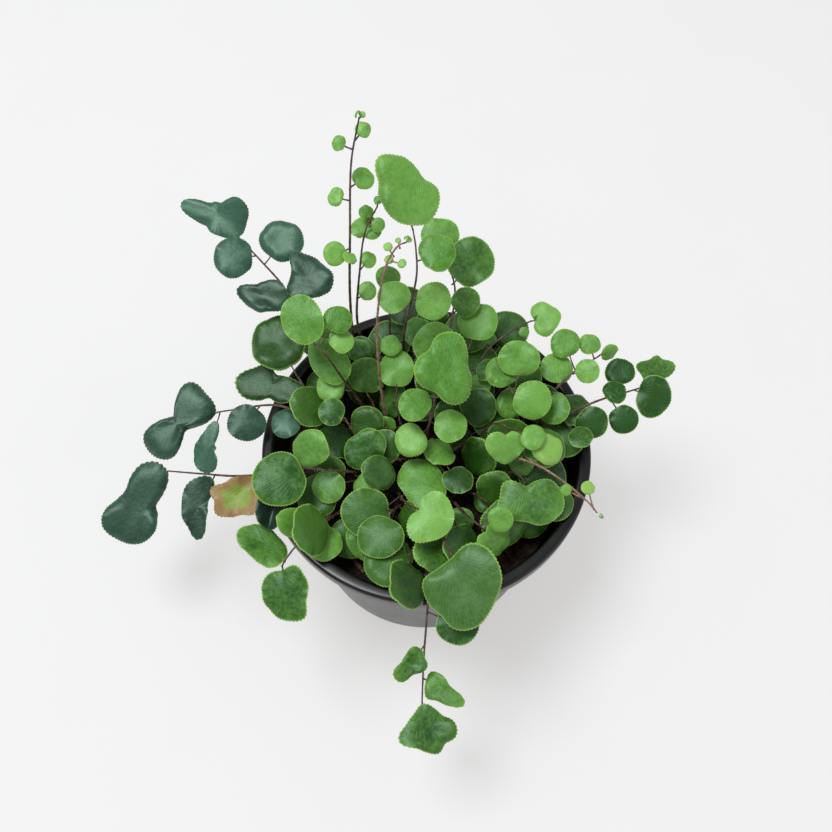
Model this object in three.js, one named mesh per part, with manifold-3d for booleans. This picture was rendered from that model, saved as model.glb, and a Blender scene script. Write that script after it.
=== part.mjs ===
// Potted button fern, in millimetres, +Z up, with the middle of the pot's base at the origin.
// A black plastic pot holds a bed of soil. Each frond is a thin rachis with round leaflets, fused in
// one solid, and stands in a plain hole in the soil.
import * as THREE from 'three';
import { mergeVertices } from 'three/addons/utils/BufferGeometryUtils.js';
import Module from 'manifold-3d';

const wasm = await Module();
wasm.setup();

// Driving dimensions: a 12 cm pot, filled to 15 mm below its rim.
const POT_HEIGHT = 78;
const RIM_RADIUS = 60;
const BASE_RADIUS = 45.5;
const POT_WALL = 1.6;
const LIP_WIDTH = 4.5;
const LIP_DROP = 7;
const EDGE_ROUNDING = 1.4;
const POT_SEGMENTS = 40;
const DRAIN_RADIUS = 4;
const DRAIN_RING = 30;
const DRAIN_COUNT = 6;
const DRAIN_SEGMENTS = 12;
const GAP = 0.3;

// The soil stands at SOIL_EDGE round the wall and rises to SOIL_CROWN in the middle.
const SOIL_EDGE = 63;
const SOIL_CROWN = 67;
const SOIL_ROUGHNESS = 1.2;
const SOIL_RINGS = [1, 0.84, 0.62, 0.4, 0.2, 0];
const SOIL_SEGMENTS = 24;
const BARK_PLACE = [-8, -45];
const BARK_OUTLINE = [[8, 0.6], [3.5, 2.6], [-3, 3.1], [-7.5, 1.2], [-5.5, -2], [1, -3], [6.5, -1.8]];
const BARK_THICKNESS = 1.8;
const BARK_TILT = -6;
const BARK_TURN = 8;
const BARK_LIFT = 0.4;
const TWIG_ENDS = [[-29, -36], [-22, -44]];
const TWIG_RADIUS = 0.9;
const TWIG_SIDES = 6;
const TWIG_LIFT = 0.2;
// How much further out than its sides a corner of a recess is set, so that the sides clear what lies in it.
const CORNER_GROWTH = 1.3;

// A rachis is rooted at ROOT_LEVEL, a little under the soil, and is straight between its rings, which
// are RACHIS_STEP apart.
const ROOT_LEVEL = 60;
const RACHIS_RADIUS = 0.6;
const RACHIS_SIDES = 4;
const RACHIS_STEP = 12;
const STALK_RADIUS = 0.4;
const STALK_SIDES = 3;
const STALK_LENGTH = 1.5;
const SHORTEST_STALK = 0.5;
// A stalk leans forward along its rachis by about this cosine.
const STALK_FORWARD = 0.35;
const BLADE_THICKNESS = 0.8;
// A leaflet narrower than SMALL_WIDTH has SMALL_SIDES points round its outline.
const SMALL_WIDTH = 10;
const SMALL_SIDES = 6;
const NOTCH_BREADTH = 0.45;
// How far the leaflets lean towards the light, which comes from -Y.
const LEAN = THREE.MathUtils.degToRad(20);

// What a leaflet keeps clear of: the middle layers of other blades, rachises and stalks, the pot's rim
// and the soil.
const BLADE_CLEARANCE = 1.35;
const RACHIS_CLEARANCE = 1.5;
const STALK_CLEARANCE = 1.4;
const RIM_CLEARANCE = 1.2;
const SOIL_CLEARANCE = 3;
const RACHIS_SPACING = 2.4;
// How near its own foot, as a share of the rachis, a leaflet may touch its rachis.
const FOOT_SHARE = 0.12;
// How far outside its edge a leaflet still counts as crossed, and how closely a rachis is tested.
const EDGE_MARGIN = 0.9;
const LINE_STEP = 1.2;

// Short fronds fill the bed under the others: low ones all round it, and inner ones in its middle. The
// first of a kind stands at the bearing start, each next one is turned by turn, and it moves aside in
// steps until it is clear. Its rachis is rooted at the radius root, is at the height knee where it has
// bend left to go, and ends at the radius reach and the height tip. Every second one stands further out
// by apart. A pair of numbers is the least value and the most that a draw adds to it, and series says
// which draws those are. A leaflet has its share of the rachis and its angle to the frond's bearing.
const SHORT_FRONDS = [
  { name: 'low', count: 17, start: -50, turn: 21, step: 2, steps: 15, series: 5, apart: 12,
    root: [14, 5], bend: 8, knee: 76, reach: [32, 4], tip: [82, 6], width: [15, 3],
    leaflets: [[0.55, 60], [0.78, -60], [1, 0]] },
  { name: 'inner', count: 7, start: 30, turn: 137.5, step: 3, steps: 20, series: 30, apart: 0,
    root: [3, 3], bend: 5, knee: 78, reach: [12, 6], tip: [80, 6], width: [12, 3],
    leaflets: [[0.62, -70], [1, 0]] },
];
const SHORT_FROND_STALK = 2;

// The plant is laid out as an eye sees it that looks down on it from the front. EYE_AIM is the point it
// looks at, EYE_DISTANCE how far off it is, and EYE_RISE how many degrees it looks down. A place in its
// view has a number across and a number down, counted from the view's top left corner. The middle is at
// VIEW_MIDDLE both ways, and VIEW_FOCUS of them cover a length as far off as it is long.
const EYE_AIM = new THREE.Vector3(-3.8, 11.7, 78);
const EYE_DISTANCE = 345;
const EYE_RISE = THREE.MathUtils.degToRad(61.2);
const VIEW_MIDDLE = 416;
const VIEW_FOCUS = 932;

// The forms that a leaflet takes. long is its length over its width, notch is how deep the base is cut,
// cup, fold and wave bend it, in shares of half its width, and sides counts the points of its outline.
// The uneven ones have an edge: how far out it lies, in the same shares, at the tip and then at every 30
// degrees, anticlockwise as seen from above.
const FORMS = {
  round: { long: 0.97, notch: 0.1, cup: -0.14, fold: 0, wave: 0.03, sides: 8 },
  ovate: { long: 1.3, notch: 0.08, cup: -0.12, fold: 0.05, wave: 0.05, sides: 10 },
  wide: { long: 0.85, notch: 0.14, cup: -0.12, fold: 0.1, wave: 0.05, sides: 8 },
  long: { long: 1.5, notch: 0.1, cup: -0.12, fold: 0.15, wave: 0.08, sides: 8 },
  folded: { long: 1.45, notch: 0.1, cup: 0, fold: 0.75, wave: 0.06, sides: 8 },
  wavy: { long: 1.05, notch: 0.1, cup: -0.08, fold: 0.1, wave: 0.13, sides: 10 },
  heart: { long: 1, notch: 0, cup: -0.12, fold: 0.05, wave: 0.05, sides: 12,
    edge: [0.95, 0.95, 0.95, 1.1, 1.15, 0.9, 0.6, 0.9, 1.1, 1.15, 0.95, 0.9] },
  pear: { long: 1, notch: 0, cup: -0.12, fold: 0.05, wave: 0.05, sides: 12,
    edge: [1.3, 1.25, 0.85, 0.95, 1.05, 0.95, 0.85, 1.2, 1.3, 1.05, 0.85, 1] },
  shield: { long: 1, notch: 0, cup: -0.12, fold: 0.05, wave: 0.05, sides: 12,
    edge: [1.2, 1.3, 0.85, 0.85, 0.9, 1, 1.05, 1.15, 1.1, 0.95, 0.75, 0.9] },
  heel: { long: 1, notch: 0, cup: -0.12, fold: 0.05, wave: 0.05, sides: 12,
    edge: [1.1, 1.25, 0.9, 0.9, 1.05, 1.2, 0.95, 1, 1, 0.95, 0.95, 1.05] },
  fan: { long: 1, notch: 0, cup: -0.12, fold: 0.05, wave: 0.05, sides: 12,
    edge: [1, 0.9, 0.9, 1.1, 1.2, 1.15, 0.85, 0.85, 1.1, 1, 0.9, 1.05] },
  kidney: { long: 1, notch: 0, cup: -0.1, fold: 0.06, wave: 0.05, sides: 12,
    edge: [0.85, 1.05, 1.2, 1.2, 1.1, 0.8, 0.65, 1.2, 1.2, 1.35, 0.85, 0.7] },
  cap: { long: 1, notch: 0, cup: -0.12, fold: 0.1, wave: 0.08, sides: 12,
    edge: [1, 1.1, 1.45, 0.9, 0.9, 1.15, 1.2, 1.05, 1.05, 1.2, 1.2, 1] },
  wing: { long: 1, notch: 0, cup: -0.1, fold: 0.15, wave: 0.1, sides: 12,
    edge: [0.6, 1.25, 0.8, 0.55, 0.65, 0.75, 0.95, 0.95, 1.05, 0.85, 0.45, 0.45] },
  beak: { long: 1, notch: 0, cup: -0.1, fold: 0.2, wave: 0.08, sides: 12,
    edge: [1.7, 1.25, 1, 0.95, 0.9, 1.2, 1.5, 1.3, 1.2, 1, 0.9, 1] },
  bow: { long: 1, notch: 0, cup: -0.12, fold: 0.1, wave: 0.08, sides: 12,
    edge: [1, 1.1, 0.95, 0.5, 0.35, 0.4, 1.1, 1.15, 1.2, 0.35, 0.35, 0.5] },
  mitten: { long: 1, notch: 0, cup: -0.12, fold: 0.1, wave: 0.08, sides: 12,
    edge: [1.2, 1.15, 1.1, 1, 0.8, 0.8, 1.8, 1.8, 0.95, 0.8, 1, 1.2] },
  twin: { long: 1, notch: 0, cup: -0.08, fold: 0.1, wave: 0.08, sides: 12,
    edge: [1.9, 1.65, 1, 0.65, 0.9, 1.25, 1.9, 1.1, 0.65, 0.6, 1.1, 1.45] },
  moon: { long: 1, notch: 0, cup: -0.1, fold: 0.2, wave: 0.08, sides: 10,
    edge: [1.45, 1.5, 1.2, 0.65, 0.75, 0.8, 2, 1.15, 0.9, 0.95, 1, 1.2] },
  drop: { long: 1, notch: 0, cup: -0.1, fold: 0.2, wave: 0.08, sides: 10,
    edge: [1.3, 2.05, 1, 0.7, 0.6, 0.8, 1.9, 1.75, 1.45, 1.05, 0.95, 1.05] },
  withered: { long: 1, notch: 0, cup: 0.1, fold: 0.15, wave: 0.12, sides: 12,
    edge: [1.15, 0.95, 0.9, 1.15, 1, 1, 1.15, 0.9, 0.8, 0.8, 1.2, 0.95] },
  kite: { long: 1, notch: 0, cup: -0.1, fold: 0.2, wave: 0.1, sides: 12,
    edge: [1.05, 0.85, 1.15, 1.1, 0.85, 0.95, 1.2, 1.05, 1.1, 1.5, 1.05, 1] },
  sickle: { long: 1, notch: 0, cup: -0.1, fold: 0.2, wave: 0.06, sides: 10,
    edge: [1.4, 0.8, 0.7, 0.85, 1, 0.95, 1.15, 1.2, 0.8, 0.7, 0.85, 1.4] },
  tongue: { long: 1, notch: 0, cup: -0.1, fold: 0.15, wave: 0.06, sides: 10,
    edge: [1.85, 0.9, 0.65, 0.75, 1, 1.3, 1.1, 1.1, 1.15, 0.85, 0.85, 1.2] },
  spiky: { long: 1, notch: 0, cup: 0, fold: 0.1, wave: 0.1, sides: 10,
    edge: [1, 0.8, 0.9, 1.3, 0.95, 0.95, 1, 0.85, 0.95, 1.3, 1.5, 1] },
};

const LEAF_COLOURS = {
  bright: '#5c9a34', mid: '#3f7d33', dark: '#24503a', teal: '#2c4f47', young: '#7a6a45',
};

// The fronds from the top of the plant down. The points that a rachis runs through, from the soil to its
// tip, are each given by their place in the view and their height. A leaflet is given by the place of
// its middle in the view, its width and, where it isn't round, its form. The last one ends the rachis.
// A fifth value, where there is one, says how far along the rachis its stalk is, from 0 to 1.
const FRONDS = [
  { name: 'tall_left', colour: 'bright',
    rachis: [[360, 394, 62], [354, 345, 86], [350, 296, 114], [350, 232, 150], [351, 165, 172],
      [359, 118, 186]],
    leaflets: [[335, 254, 8], [350, 260, 5], [336, 197, 6, 'wide'], [363, 178, 7], [339, 144, 5, 'wide'],
      [363, 130, 5], [362, 115, 2]] },
  { name: 'tall_middle', colour: 'bright',
    rachis: [[374, 398, 62], [365, 352, 84], [357, 318, 102], [360, 268, 124], [365, 232, 136],
      [377, 207, 142]],
    leaflets: [[367, 291, 7], [368, 260, 6], [366, 228, 10, 'heart'], [378, 225, 5], [366, 212, 5],
      [378, 200, 3]] },
  { name: 'big_leaf', colour: 'bright',
    rachis: [[408, 402, 62], [404, 352, 88], [405, 328, 106], [416, 280, 132], [416, 250, 142],
      [413, 230, 146]],
    leaflets: [[391, 346, 8], [394, 297, 12], [433, 301, 13], [437, 252, 13], [405, 194, 21, 'shield']] },
  { name: 'young', colour: 'young',
    rachis: [[392, 442, 62], [387, 420, 80], [380, 380, 100], [377, 325, 122], [384, 272, 142],
      [396, 248, 150], [404, 243, 151]],
    leaflets: [[388, 247, 3], [389, 260, 3], [402, 264, 3], [398, 240, 2], [409, 240, 2]] },
  { name: 'back_right', colour: 'mid',
    rachis: [[434, 420, 62], [440, 385, 84], [450, 330, 100], [455, 290, 106], [448, 264, 108]],
    leaflets: [[466, 303, 11], [470, 262, 18, 'wavy'], [440, 236, 14]] },
  { name: 'back_middle', colour: 'mid',
    rachis: [[392, 398, 62], [390, 352, 84], [390, 312, 100], [389, 298, 105]],
    leaflets: [[418, 332, 12], [388, 278, 9]] },
  { name: 'back_fan', colour: 'mid',
    rachis: [[448, 430, 62], [456, 390, 84], [466, 355, 96], [472, 340, 99]],
    leaflets: [[433, 346, 16], [488, 372, 9], [480, 388, 9], [478, 322, 15]] },
  { name: 'left_high', colour: 'bright',
    rachis: [[378, 440, 62], [366, 412, 78], [345, 382, 96], [325, 354, 112], [315, 345, 115]],
    leaflets: [[331, 387, 11, 'round', 0.42], [330, 362, 13, 'long'], [341, 340, 9], [338, 320, 10],
      [303, 321, 14, 'ovate']] },
  { name: 'upper_left', colour: 'teal',
    rachis: [[345, 425, 62], [330, 385, 86], [306, 330, 98], [285, 289, 100], [262, 262, 97], [239, 238, 93]],
    leaflets: [[308, 277, 16, 'cap'], [265, 297, 13, 'beak'], [282, 242, 17], [234, 258, 16],
      [224, 221, 24, 'wing']] },
  { name: 'left_dark', colour: 'dark',
    rachis: [[336, 432, 62], [322, 404, 80], [306, 388, 87], [297, 376, 89]],
    leaflets: [[272, 385, 15, 'twin'], [279, 343, 21, 'wavy']] },
  { name: 'mid_left', colour: 'teal',
    rachis: [[335, 446, 62], [315, 424, 80], [290, 409, 89], [268, 405, 88], [232, 410, 82], [218, 412, 78]],
    leaflets: [[286, 424, 11], [247, 423, 14], [207, 450, 11, 'moon'], [180, 425, 27, 'bow']] },
  { name: 'lower_left', colour: 'teal',
    rachis: [[340, 458, 62], [312, 462, 82], [285, 472, 89], [240, 476, 82], [205, 474, 72], [168, 471, 64]],
    leaflets: [[275, 508, 11, 'folded'], [238, 497, 16, 'withered'], [198, 507, 12, 'drop'],
      [138, 508, 21, 'mitten']] },
  { name: 'inner_left', colour: 'mid',
    rachis: [[372, 494, 62], [345, 508, 74], [322, 525, 82], [300, 542, 84], [288, 556, 83], [282, 566, 81]],
    leaflets: [[323, 543, 14], [292, 522, 10, 'long'], [263, 546, 13, 'long', 0.9],
      [286, 593, 17, 'heel']] },
  { name: 'centre', colour: 'bright',
    rachis: [[410, 466, 62], [417, 450, 76], [428, 428, 93], [434, 404, 106], [434, 394, 109]],
    leaflets: [[411, 440, 12], [450, 426, 12], [415, 405, 12], [443, 371, 20, 'pear']] },
  { name: 'centre_left', colour: 'mid',
    rachis: [[404, 456, 62], [402, 436, 76], [398, 412, 84], [396, 398, 87]],
    leaflets: [[384, 428, 9], [394, 408, 7], [397, 370, 13, 'wavy']] },
  { name: 'crenate', colour: 'mid',
    rachis: [[384, 470, 62], [370, 456, 76], [352, 430, 88], [345, 418, 90]],
    leaflets: [[366, 450, 18, 'wide'], [332, 412, 10]] },
  { name: 'left_back', colour: 'mid',
    rachis: [[387, 448, 62], [380, 424, 74], [373, 404, 82], [367, 394, 85]],
    leaflets: [[367, 378, 14]] },
  { name: 'back_small', colour: 'mid',
    rachis: [[367, 424, 62], [362, 400, 76], [361, 374, 88]],
    leaflets: [[361, 350, 10]] },
  { name: 'left_low', colour: 'mid',
    rachis: [[372, 474, 62], [352, 472, 82], [325, 470, 92], [305, 468, 95]],
    leaflets: [[366, 486, 9], [329, 486, 12], [311, 449, 14], [280, 480, 19]] },
  { name: 'front_middle', colour: 'bright',
    rachis: [[398, 484, 62], [400, 496, 78], [408, 504, 90], [418, 509, 96]],
    leaflets: [[376, 514, 11], [422, 484, 20, 'wide'], [429, 517, 16, 'heart']] },
  { name: 'right_inner', colour: 'mid',
    rachis: [[440, 466, 62], [450, 454, 76], [467, 440, 80], [474, 433, 81]],
    leaflets: [[434, 455, 14, 'round', 0.5], [480, 460, 16], [489, 423, 13]] },
  { name: 'right_high', colour: 'mid',
    rachis: [[480, 456, 62], [511, 442, 74], [524, 416, 89], [514, 394, 98]],
    leaflets: [[512, 404, 12, 'round', 0.55], [502, 372, 12], [518, 360, 15, 'wide'], [526, 398, 14]] },
  { name: 'right_heart', colour: 'bright',
    rachis: [[462, 462, 62], [476, 440, 80], [492, 424, 94], [506, 426, 99]],
    leaflets: [[533, 437, 9], [506, 446, 13, 'heart']] },
  { name: 'right_low', colour: 'mid',
    rachis: [[460, 478, 62], [490, 476, 76], [512, 472, 84], [522, 478, 86]],
    leaflets: [[487, 500, 10], [521, 464, 9], [531, 503, 19, 'kidney']] },
  { name: 'bare_right', colour: 'young',
    rachis: [[452, 470, 62], [500, 458, 84], [530, 462, 92], [560, 479, 94], [588, 502, 92], [597, 513, 91]],
    leaflets: [[548, 448, 12], [588, 488, 5, 'round', 0.93], [566, 490, 4, 'round', 0.75]] },
  { name: 'back_spray', colour: 'bright',
    rachis: [[462, 420, 62], [472, 385, 84], [486, 352, 94], [510, 332, 98], [531, 321, 99]],
    leaflets: [[490, 339, 5], [524, 332, 4], [545, 319, 12, 'heart']] },
  { name: 'right_spray', colour: 'bright',
    rachis: [[478, 430, 62], [510, 412, 80], [545, 398, 90], [570, 375, 96], [599, 356, 98]],
    leaflets: [[554, 410, 12], [565, 344, 11], [557, 368, 12], [587, 372, 9], [590, 344, 8], [609, 352, 7]] },
  { name: 'far_right', colour: 'mid',
    rachis: [[486, 446, 62], [530, 432, 80], [572, 412, 88], [600, 400, 86], [630, 391, 82], [650, 385, 79]],
    leaflets: [[592, 422, 12], [580, 440, 9], [615, 392, 9], [620, 372, 11], [624, 419, 11],
      [653, 396, 16, 'wide'], [653, 372, 11, 'spiky']] },
  { name: 'front_right', colour: 'mid',
    rachis: [[440, 488, 62], [458, 506, 78], [470, 518, 86], [480, 526, 88]],
    leaflets: [[460, 520, 10], [500, 520, 9], [497, 542, 15, 'heart']] },
  { name: 'front_big', colour: 'mid',
    rachis: [[428, 492, 62], [436, 515, 80], [444, 538, 90], [452, 556, 93]],
    leaflets: [[462, 584, 25, 'fan']] },
  { name: 'front_left', colour: 'mid',
    rachis: [[402, 492, 62], [394, 512, 74], [388, 528, 80]],
    leaflets: [[399, 556, 12], [365, 541, 17, 'wide']] },
  { name: 'front_dull', colour: 'mid',
    rachis: [[414, 492, 62], [418, 515, 74], [424, 534, 85]],
    leaflets: [[434, 552, 17, 'wide']] },
  { name: 'trailing', colour: 'mid',
    rachis: [[420, 500, 62], [424, 545, 71], [428, 590, 83], [427, 615, 82], [424, 655, 70], [422, 702, 58]],
    leaflets: [[457, 622, 15], [412, 664, 10, 'sickle'], [441, 689, 10, 'tongue'],
      [430, 727, 15, 'kite']] },
];

// A repeatable draw between 0 and 1 for item i of series k.
function draw(i, k) {
  const value = Math.sin(i * 12.9898 + k * 78.233) * 43758.5453;
  return value - Math.floor(value);
}

const radians = THREE.MathUtils.degToRad;
const LEAN_AXIS = new THREE.Vector3(1, 0, 0);
const LEAN_NORMAL = new THREE.Vector3(0, 0, 1).applyAxisAngle(LEAN_AXIS, LEAN);

// --- the view ---

const viewUp = new THREE.Vector3(0, Math.sin(EYE_RISE), Math.cos(EYE_RISE));
const viewBack = new THREE.Vector3(0, -Math.cos(EYE_RISE), Math.sin(EYE_RISE));
const eye = EYE_AIM.clone().addScaledVector(viewBack, EYE_DISTANCE);

// The way from the eye to a place in the view.
function sight(across, down) {
  return new THREE.Vector3((across - VIEW_MIDDLE) / VIEW_FOCUS, 0, 0)
    .addScaledVector(viewUp, (VIEW_MIDDLE - down) / VIEW_FOCUS)
    .sub(viewBack);
}

// The point at a height that is seen at a place.
function seenAtHeight([across, down, height]) {
  const way = sight(across, down);
  return eye.clone().addScaledVector(way, (height - eye.z) / way.z);
}

// The point that is seen at a place and lies in the leaning plane through another point.
function seenInPlane(across, down, origin) {
  const way = sight(across, down);
  const depth = origin.clone().sub(eye).dot(LEAN_NORMAL) / way.dot(LEAN_NORMAL);
  return eye.clone().addScaledVector(way, depth);
}

// --- solids ---

function solidOf(geometry) {
  const bare = geometry.clone();
  bare.deleteAttribute('normal');
  bare.deleteAttribute('uv');
  const merged = mergeVertices(bare, 1e-4);
  const corners = merged.index.array;
  const kept = [];
  for (let i = 0; i < corners.length; i += 3) {
    const [a, b, c] = corners.slice(i, i + 3);
    if (a !== b && b !== c && c !== a) kept.push(a, b, c);
  }
  return new wasm.Manifold(new wasm.Mesh({
    numProp: 3,
    vertProperties: new Float32Array(merged.attributes.position.array),
    triVerts: new Uint32Array(kept),
  }));
}

function nodeOf(name, solid, colour, roughness) {
  const { vertProperties, triVerts } = solid.getMesh();
  const geometry = new THREE.BufferGeometry();
  geometry.setAttribute('position', new THREE.BufferAttribute(vertProperties, 3));
  geometry.setIndex(new THREE.BufferAttribute(triVerts, 1));
  geometry.computeVertexNormals();
  const mesh = new THREE.Mesh(geometry, new THREE.MeshStandardMaterial({ color: colour, roughness }));
  mesh.name = name;
  return mesh;
}

function tubeAlong(curve, radius, sides, steps) {
  const corners = [];
  for (let i = 0; i < sides; i += 1) {
    const turn = (i * 2 * Math.PI) / sides;
    corners.push(new THREE.Vector2(radius * Math.cos(turn), radius * Math.sin(turn)));
  }
  return new THREE.ExtrudeGeometry(new THREE.Shape(corners), { steps, extrudePath: curve });
}

function turned(profile, segments) {
  const points = profile.map(([radius, height]) => new THREE.Vector2(radius, height));
  return new THREE.LatheGeometry(points, segments).rotateX(Math.PI / 2);
}

// --- pot and soil ---

// The radius of the pot's outer wall at a height.
function wallRadius(height) {
  const underLip = RIM_RADIUS - LIP_WIDTH + POT_WALL;
  return BASE_RADIUS + ((underLip - BASE_RADIUS) * height) / POT_HEIGHT;
}

function insideRadius(height) {
  return wallRadius(height) - POT_WALL;
}

function makePot() {
  const lipFoot = POT_HEIGHT - LIP_DROP;
  const innerLip = RIM_RADIUS - LIP_WIDTH;
  const profile = [
    [0, 0],
    [BASE_RADIUS - EDGE_ROUNDING / 2, 0],
    [BASE_RADIUS, EDGE_ROUNDING / 2],
    [wallRadius(lipFoot), lipFoot],
    [RIM_RADIUS - EDGE_ROUNDING / 2, lipFoot],
    [RIM_RADIUS, POT_HEIGHT - EDGE_ROUNDING],
    [RIM_RADIUS - EDGE_ROUNDING, POT_HEIGHT],
    [innerLip + EDGE_ROUNDING / 2, POT_HEIGHT],
    [innerLip, POT_HEIGHT - EDGE_ROUNDING / 2],
    [insideRadius(POT_WALL), POT_WALL],
    [0, POT_WALL],
  ];
  let pot = solidOf(turned(profile, POT_SEGMENTS));
  const drain = new THREE.CylinderGeometry(DRAIN_RADIUS, DRAIN_RADIUS, 4 * POT_WALL, DRAIN_SEGMENTS)
    .rotateX(Math.PI / 2);
  for (let i = 0; i < DRAIN_COUNT; i += 1) {
    const turn = (i * 2 * Math.PI) / DRAIN_COUNT;
    const placed = drain.clone().translate(DRAIN_RING * Math.cos(turn), DRAIN_RING * Math.sin(turn), 0);
    pot = pot.subtract(solidOf(placed));
  }
  return pot;
}

const SOIL_RADIUS = insideRadius(SOIL_EDGE) - 2 * GAP;

// The height of the soil, which is domed and lumpy.
function soilHeight(x, y) {
  const share = Math.hypot(x, y) / SOIL_RADIUS;
  const lumps = Math.sin(0.31 * x + 1.3) * Math.cos(0.27 * y) + 0.6 * Math.sin(0.63 * y + 0.5 * x);
  return SOIL_CROWN - (SOIL_CROWN - SOIL_EDGE) * share ** 2 + SOIL_ROUGHNESS * lumps * (1 - share ** 6);
}

// A flake of bark that lies tilted in the soil, larger all round by grow.
function barkChip(grow) {
  const outline = BARK_OUTLINE.map(([x, y]) => {
    const corner = new THREE.Vector2(x, y);
    return corner.setLength(corner.length() + CORNER_GROWTH * grow);
  });
  const depth = BARK_THICKNESS + 2 * grow;
  const flake = new THREE.ExtrudeGeometry(new THREE.Shape(outline), { depth, bevelEnabled: false });
  const [x, y] = BARK_PLACE;
  flake.translate(0, 0, -depth / 2).rotateX(radians(BARK_TILT)).rotateZ(radians(BARK_TURN));
  return solidOf(flake.translate(x, y, soilHeight(x, y) + BARK_LIFT));
}

// A broken twig that lies bedded in the soil, larger all round by grow.
function twig(grow) {
  const [start, end] = TWIG_ENDS.map(([x, y]) => new THREE.Vector3(x, y, soilHeight(x, y) + TWIG_LIFT));
  const over = end.clone().sub(start).setLength(grow);
  const line = new THREE.LineCurve3(start.sub(over), end.add(over));
  return solidOf(tubeAlong(line, TWIG_RADIUS + CORNER_GROWTH * grow, TWIG_SIDES, 1));
}

// A hole that clears a straight stretch of rachis by a little more than GAP all round.
function holeAround(start, end) {
  const clearance = 1.5 * GAP;
  const over = end.clone().sub(start).setLength(clearance);
  const line = new THREE.LineCurve3(start.clone().sub(over), end.clone().add(over));
  return solidOf(tubeAlong(line, RACHIS_RADIUS + clearance, RACHIS_SIDES, 1));
}

function makeSoil(fronds, bedded) {
  const foot = POT_WALL + GAP;
  const profile = [[0, foot], [insideRadius(foot) - 2 * GAP, foot]];
  for (const share of SOIL_RINGS) profile.push([share * SOIL_RADIUS, SOIL_EDGE]);
  const geometry = turned(profile, SOIL_SEGMENTS);
  const places = geometry.attributes.position;
  for (let i = 0; i < places.count; i += 1) {
    if (places.getZ(i) > foot + 1) places.setZ(i, soilHeight(places.getX(i), places.getY(i)));
  }
  let soil = solidOf(geometry);
  for (const frond of fronds) {
    const [root, middle, above] = frond.chain;
    soil = soil.subtract(holeAround(root, middle));
    if (middle.z < SOIL_CROWN + 2) soil = soil.subtract(holeAround(middle, above));
  }
  for (const piece of bedded) soil = soil.subtract(piece);
  return soil;
}

// --- the form of a leaflet ---

// How far out an uneven edge lies at an angle. It runs smoothly from each of its shares to the next.
function edgeShare(edge, angle) {
  const place = ((angle / (2 * Math.PI) + 1) * edge.length) % edge.length;
  const i = Math.floor(place);
  const way = (1 - Math.cos(Math.PI * (place - i))) / 2;
  return edge[i] * (1 - way) + edge[(i + 1) % edge.length] * way;
}

// How far a leaflet's outline lies from its middle at an angle, where its base is at 180 degrees.
function outline(form, angle) {
  if (form.edge) return edgeShare(form.edge, angle);
  const fromBase = Math.PI - Math.abs(angle);
  return 1 - form.notch * Math.exp(-((fromBase / NOTCH_BREADTH) ** 2));
}

// How high a leaflet's surface stands over its flat plane, as a share of half its width, at an angle
// and a share of the way out to its edge.
function surface(leaf, angle, share) {
  const { cup, fold, wave } = leaf.form;
  const across = Math.abs(Math.sin(angle)) * share;
  return cup * share ** 2 + fold * (across - 0.4) + wave * Math.sin(3 * angle + leaf.phase) * share ** 2;
}

// The point of a leaflet's middle layer at an angle and a share of the way out.
function leafPoint(leaf, angle, share) {
  const reach = leaf.half * outline(leaf.form, angle) * share;
  return leaf.centre.clone()
    .addScaledVector(leaf.along, reach * leaf.form.long * Math.cos(angle))
    .addScaledVector(leaf.across, reach * Math.sin(angle))
    .addScaledVector(leaf.normal, leaf.half * surface(leaf, angle, share));
}

// The middle of a leaflet and two rings round it, of 12 points each.
function samplePoints(leaf) {
  const points = [leafPoint(leaf, Math.PI, 0)];
  for (const share of [0.5, 1]) {
    for (let i = 0; i < 12; i += 1) points.push(leafPoint(leaf, Math.PI - (i * Math.PI) / 6, share));
  }
  return points;
}

// The point of a chain of straight stretches that is nearest to a point.
function nearestOn(chain, point) {
  let nearest = chain[0];
  for (let i = 1; i < chain.length; i += 1) {
    const stretch = new THREE.Line3(chain[i - 1], chain[i]);
    const place = stretch.closestPointToPoint(point, true, new THREE.Vector3());
    if (place.distanceTo(point) < nearest.distanceTo(point)) nearest = place;
  }
  return nearest;
}

// A stalk runs from inside the rachis to 1 mm inside the leaflet.
function stalkLine(leaf) {
  const tip = leafPoint(leaf, Math.PI, 1).addScaledVector(leaf.along, 1);
  const start = nearestOn(leaf.frond.chain, leaf.foot);
  const line = [];
  for (let i = 0; i <= 4; i += 1) line.push(start.clone().lerp(tip, i / 4));
  return line;
}

// A leaflet posed on its frond. pitch raises its tip, roll turns it about its length, and size scales it.
function poseLeaf(frond, hung, number, pitch, roll, size) {
  const half = (hung.width * size) / 2;
  const [rise, lean] = [radians(pitch), radians(roll)];
  const [east, north] = [Math.cos(hung.bearing), Math.sin(hung.bearing)];
  const along = new THREE.Vector3(east * Math.cos(rise), north * Math.cos(rise), Math.sin(rise))
    .applyAxisAngle(LEAN_AXIS, LEAN);
  const flat = new THREE.Vector3(-north, east, 0).applyAxisAngle(LEAN_AXIS, LEAN);
  const up = along.clone().cross(flat);
  const across = flat.multiplyScalar(Math.cos(lean)).addScaledVector(up, Math.sin(lean));
  const normal = along.clone().cross(across);
  const foot = frond.curve.getPoint(hung.at);
  const phase = 2 * Math.PI * draw(number, 3);
  const leaf = { frond, foot, form: hung.form, half, along, across, normal, at: hung.at, phase };
  leaf.centre = foot.clone()
    .addScaledVector(along, hung.stalk + baseDepth(half, hung.form))
    .addScaledVector(normal, -half * surface(leaf, Math.PI, 1));
  leaf.points = samplePoints(leaf);
  leaf.stalkLine = stalkLine(leaf);
  return leaf;
}

// How far a leaflet's base lies from its middle.
function baseDepth(half, form) {
  return half * form.long * outline(form, Math.PI);
}

// --- leaflets on their rachis ---

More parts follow.
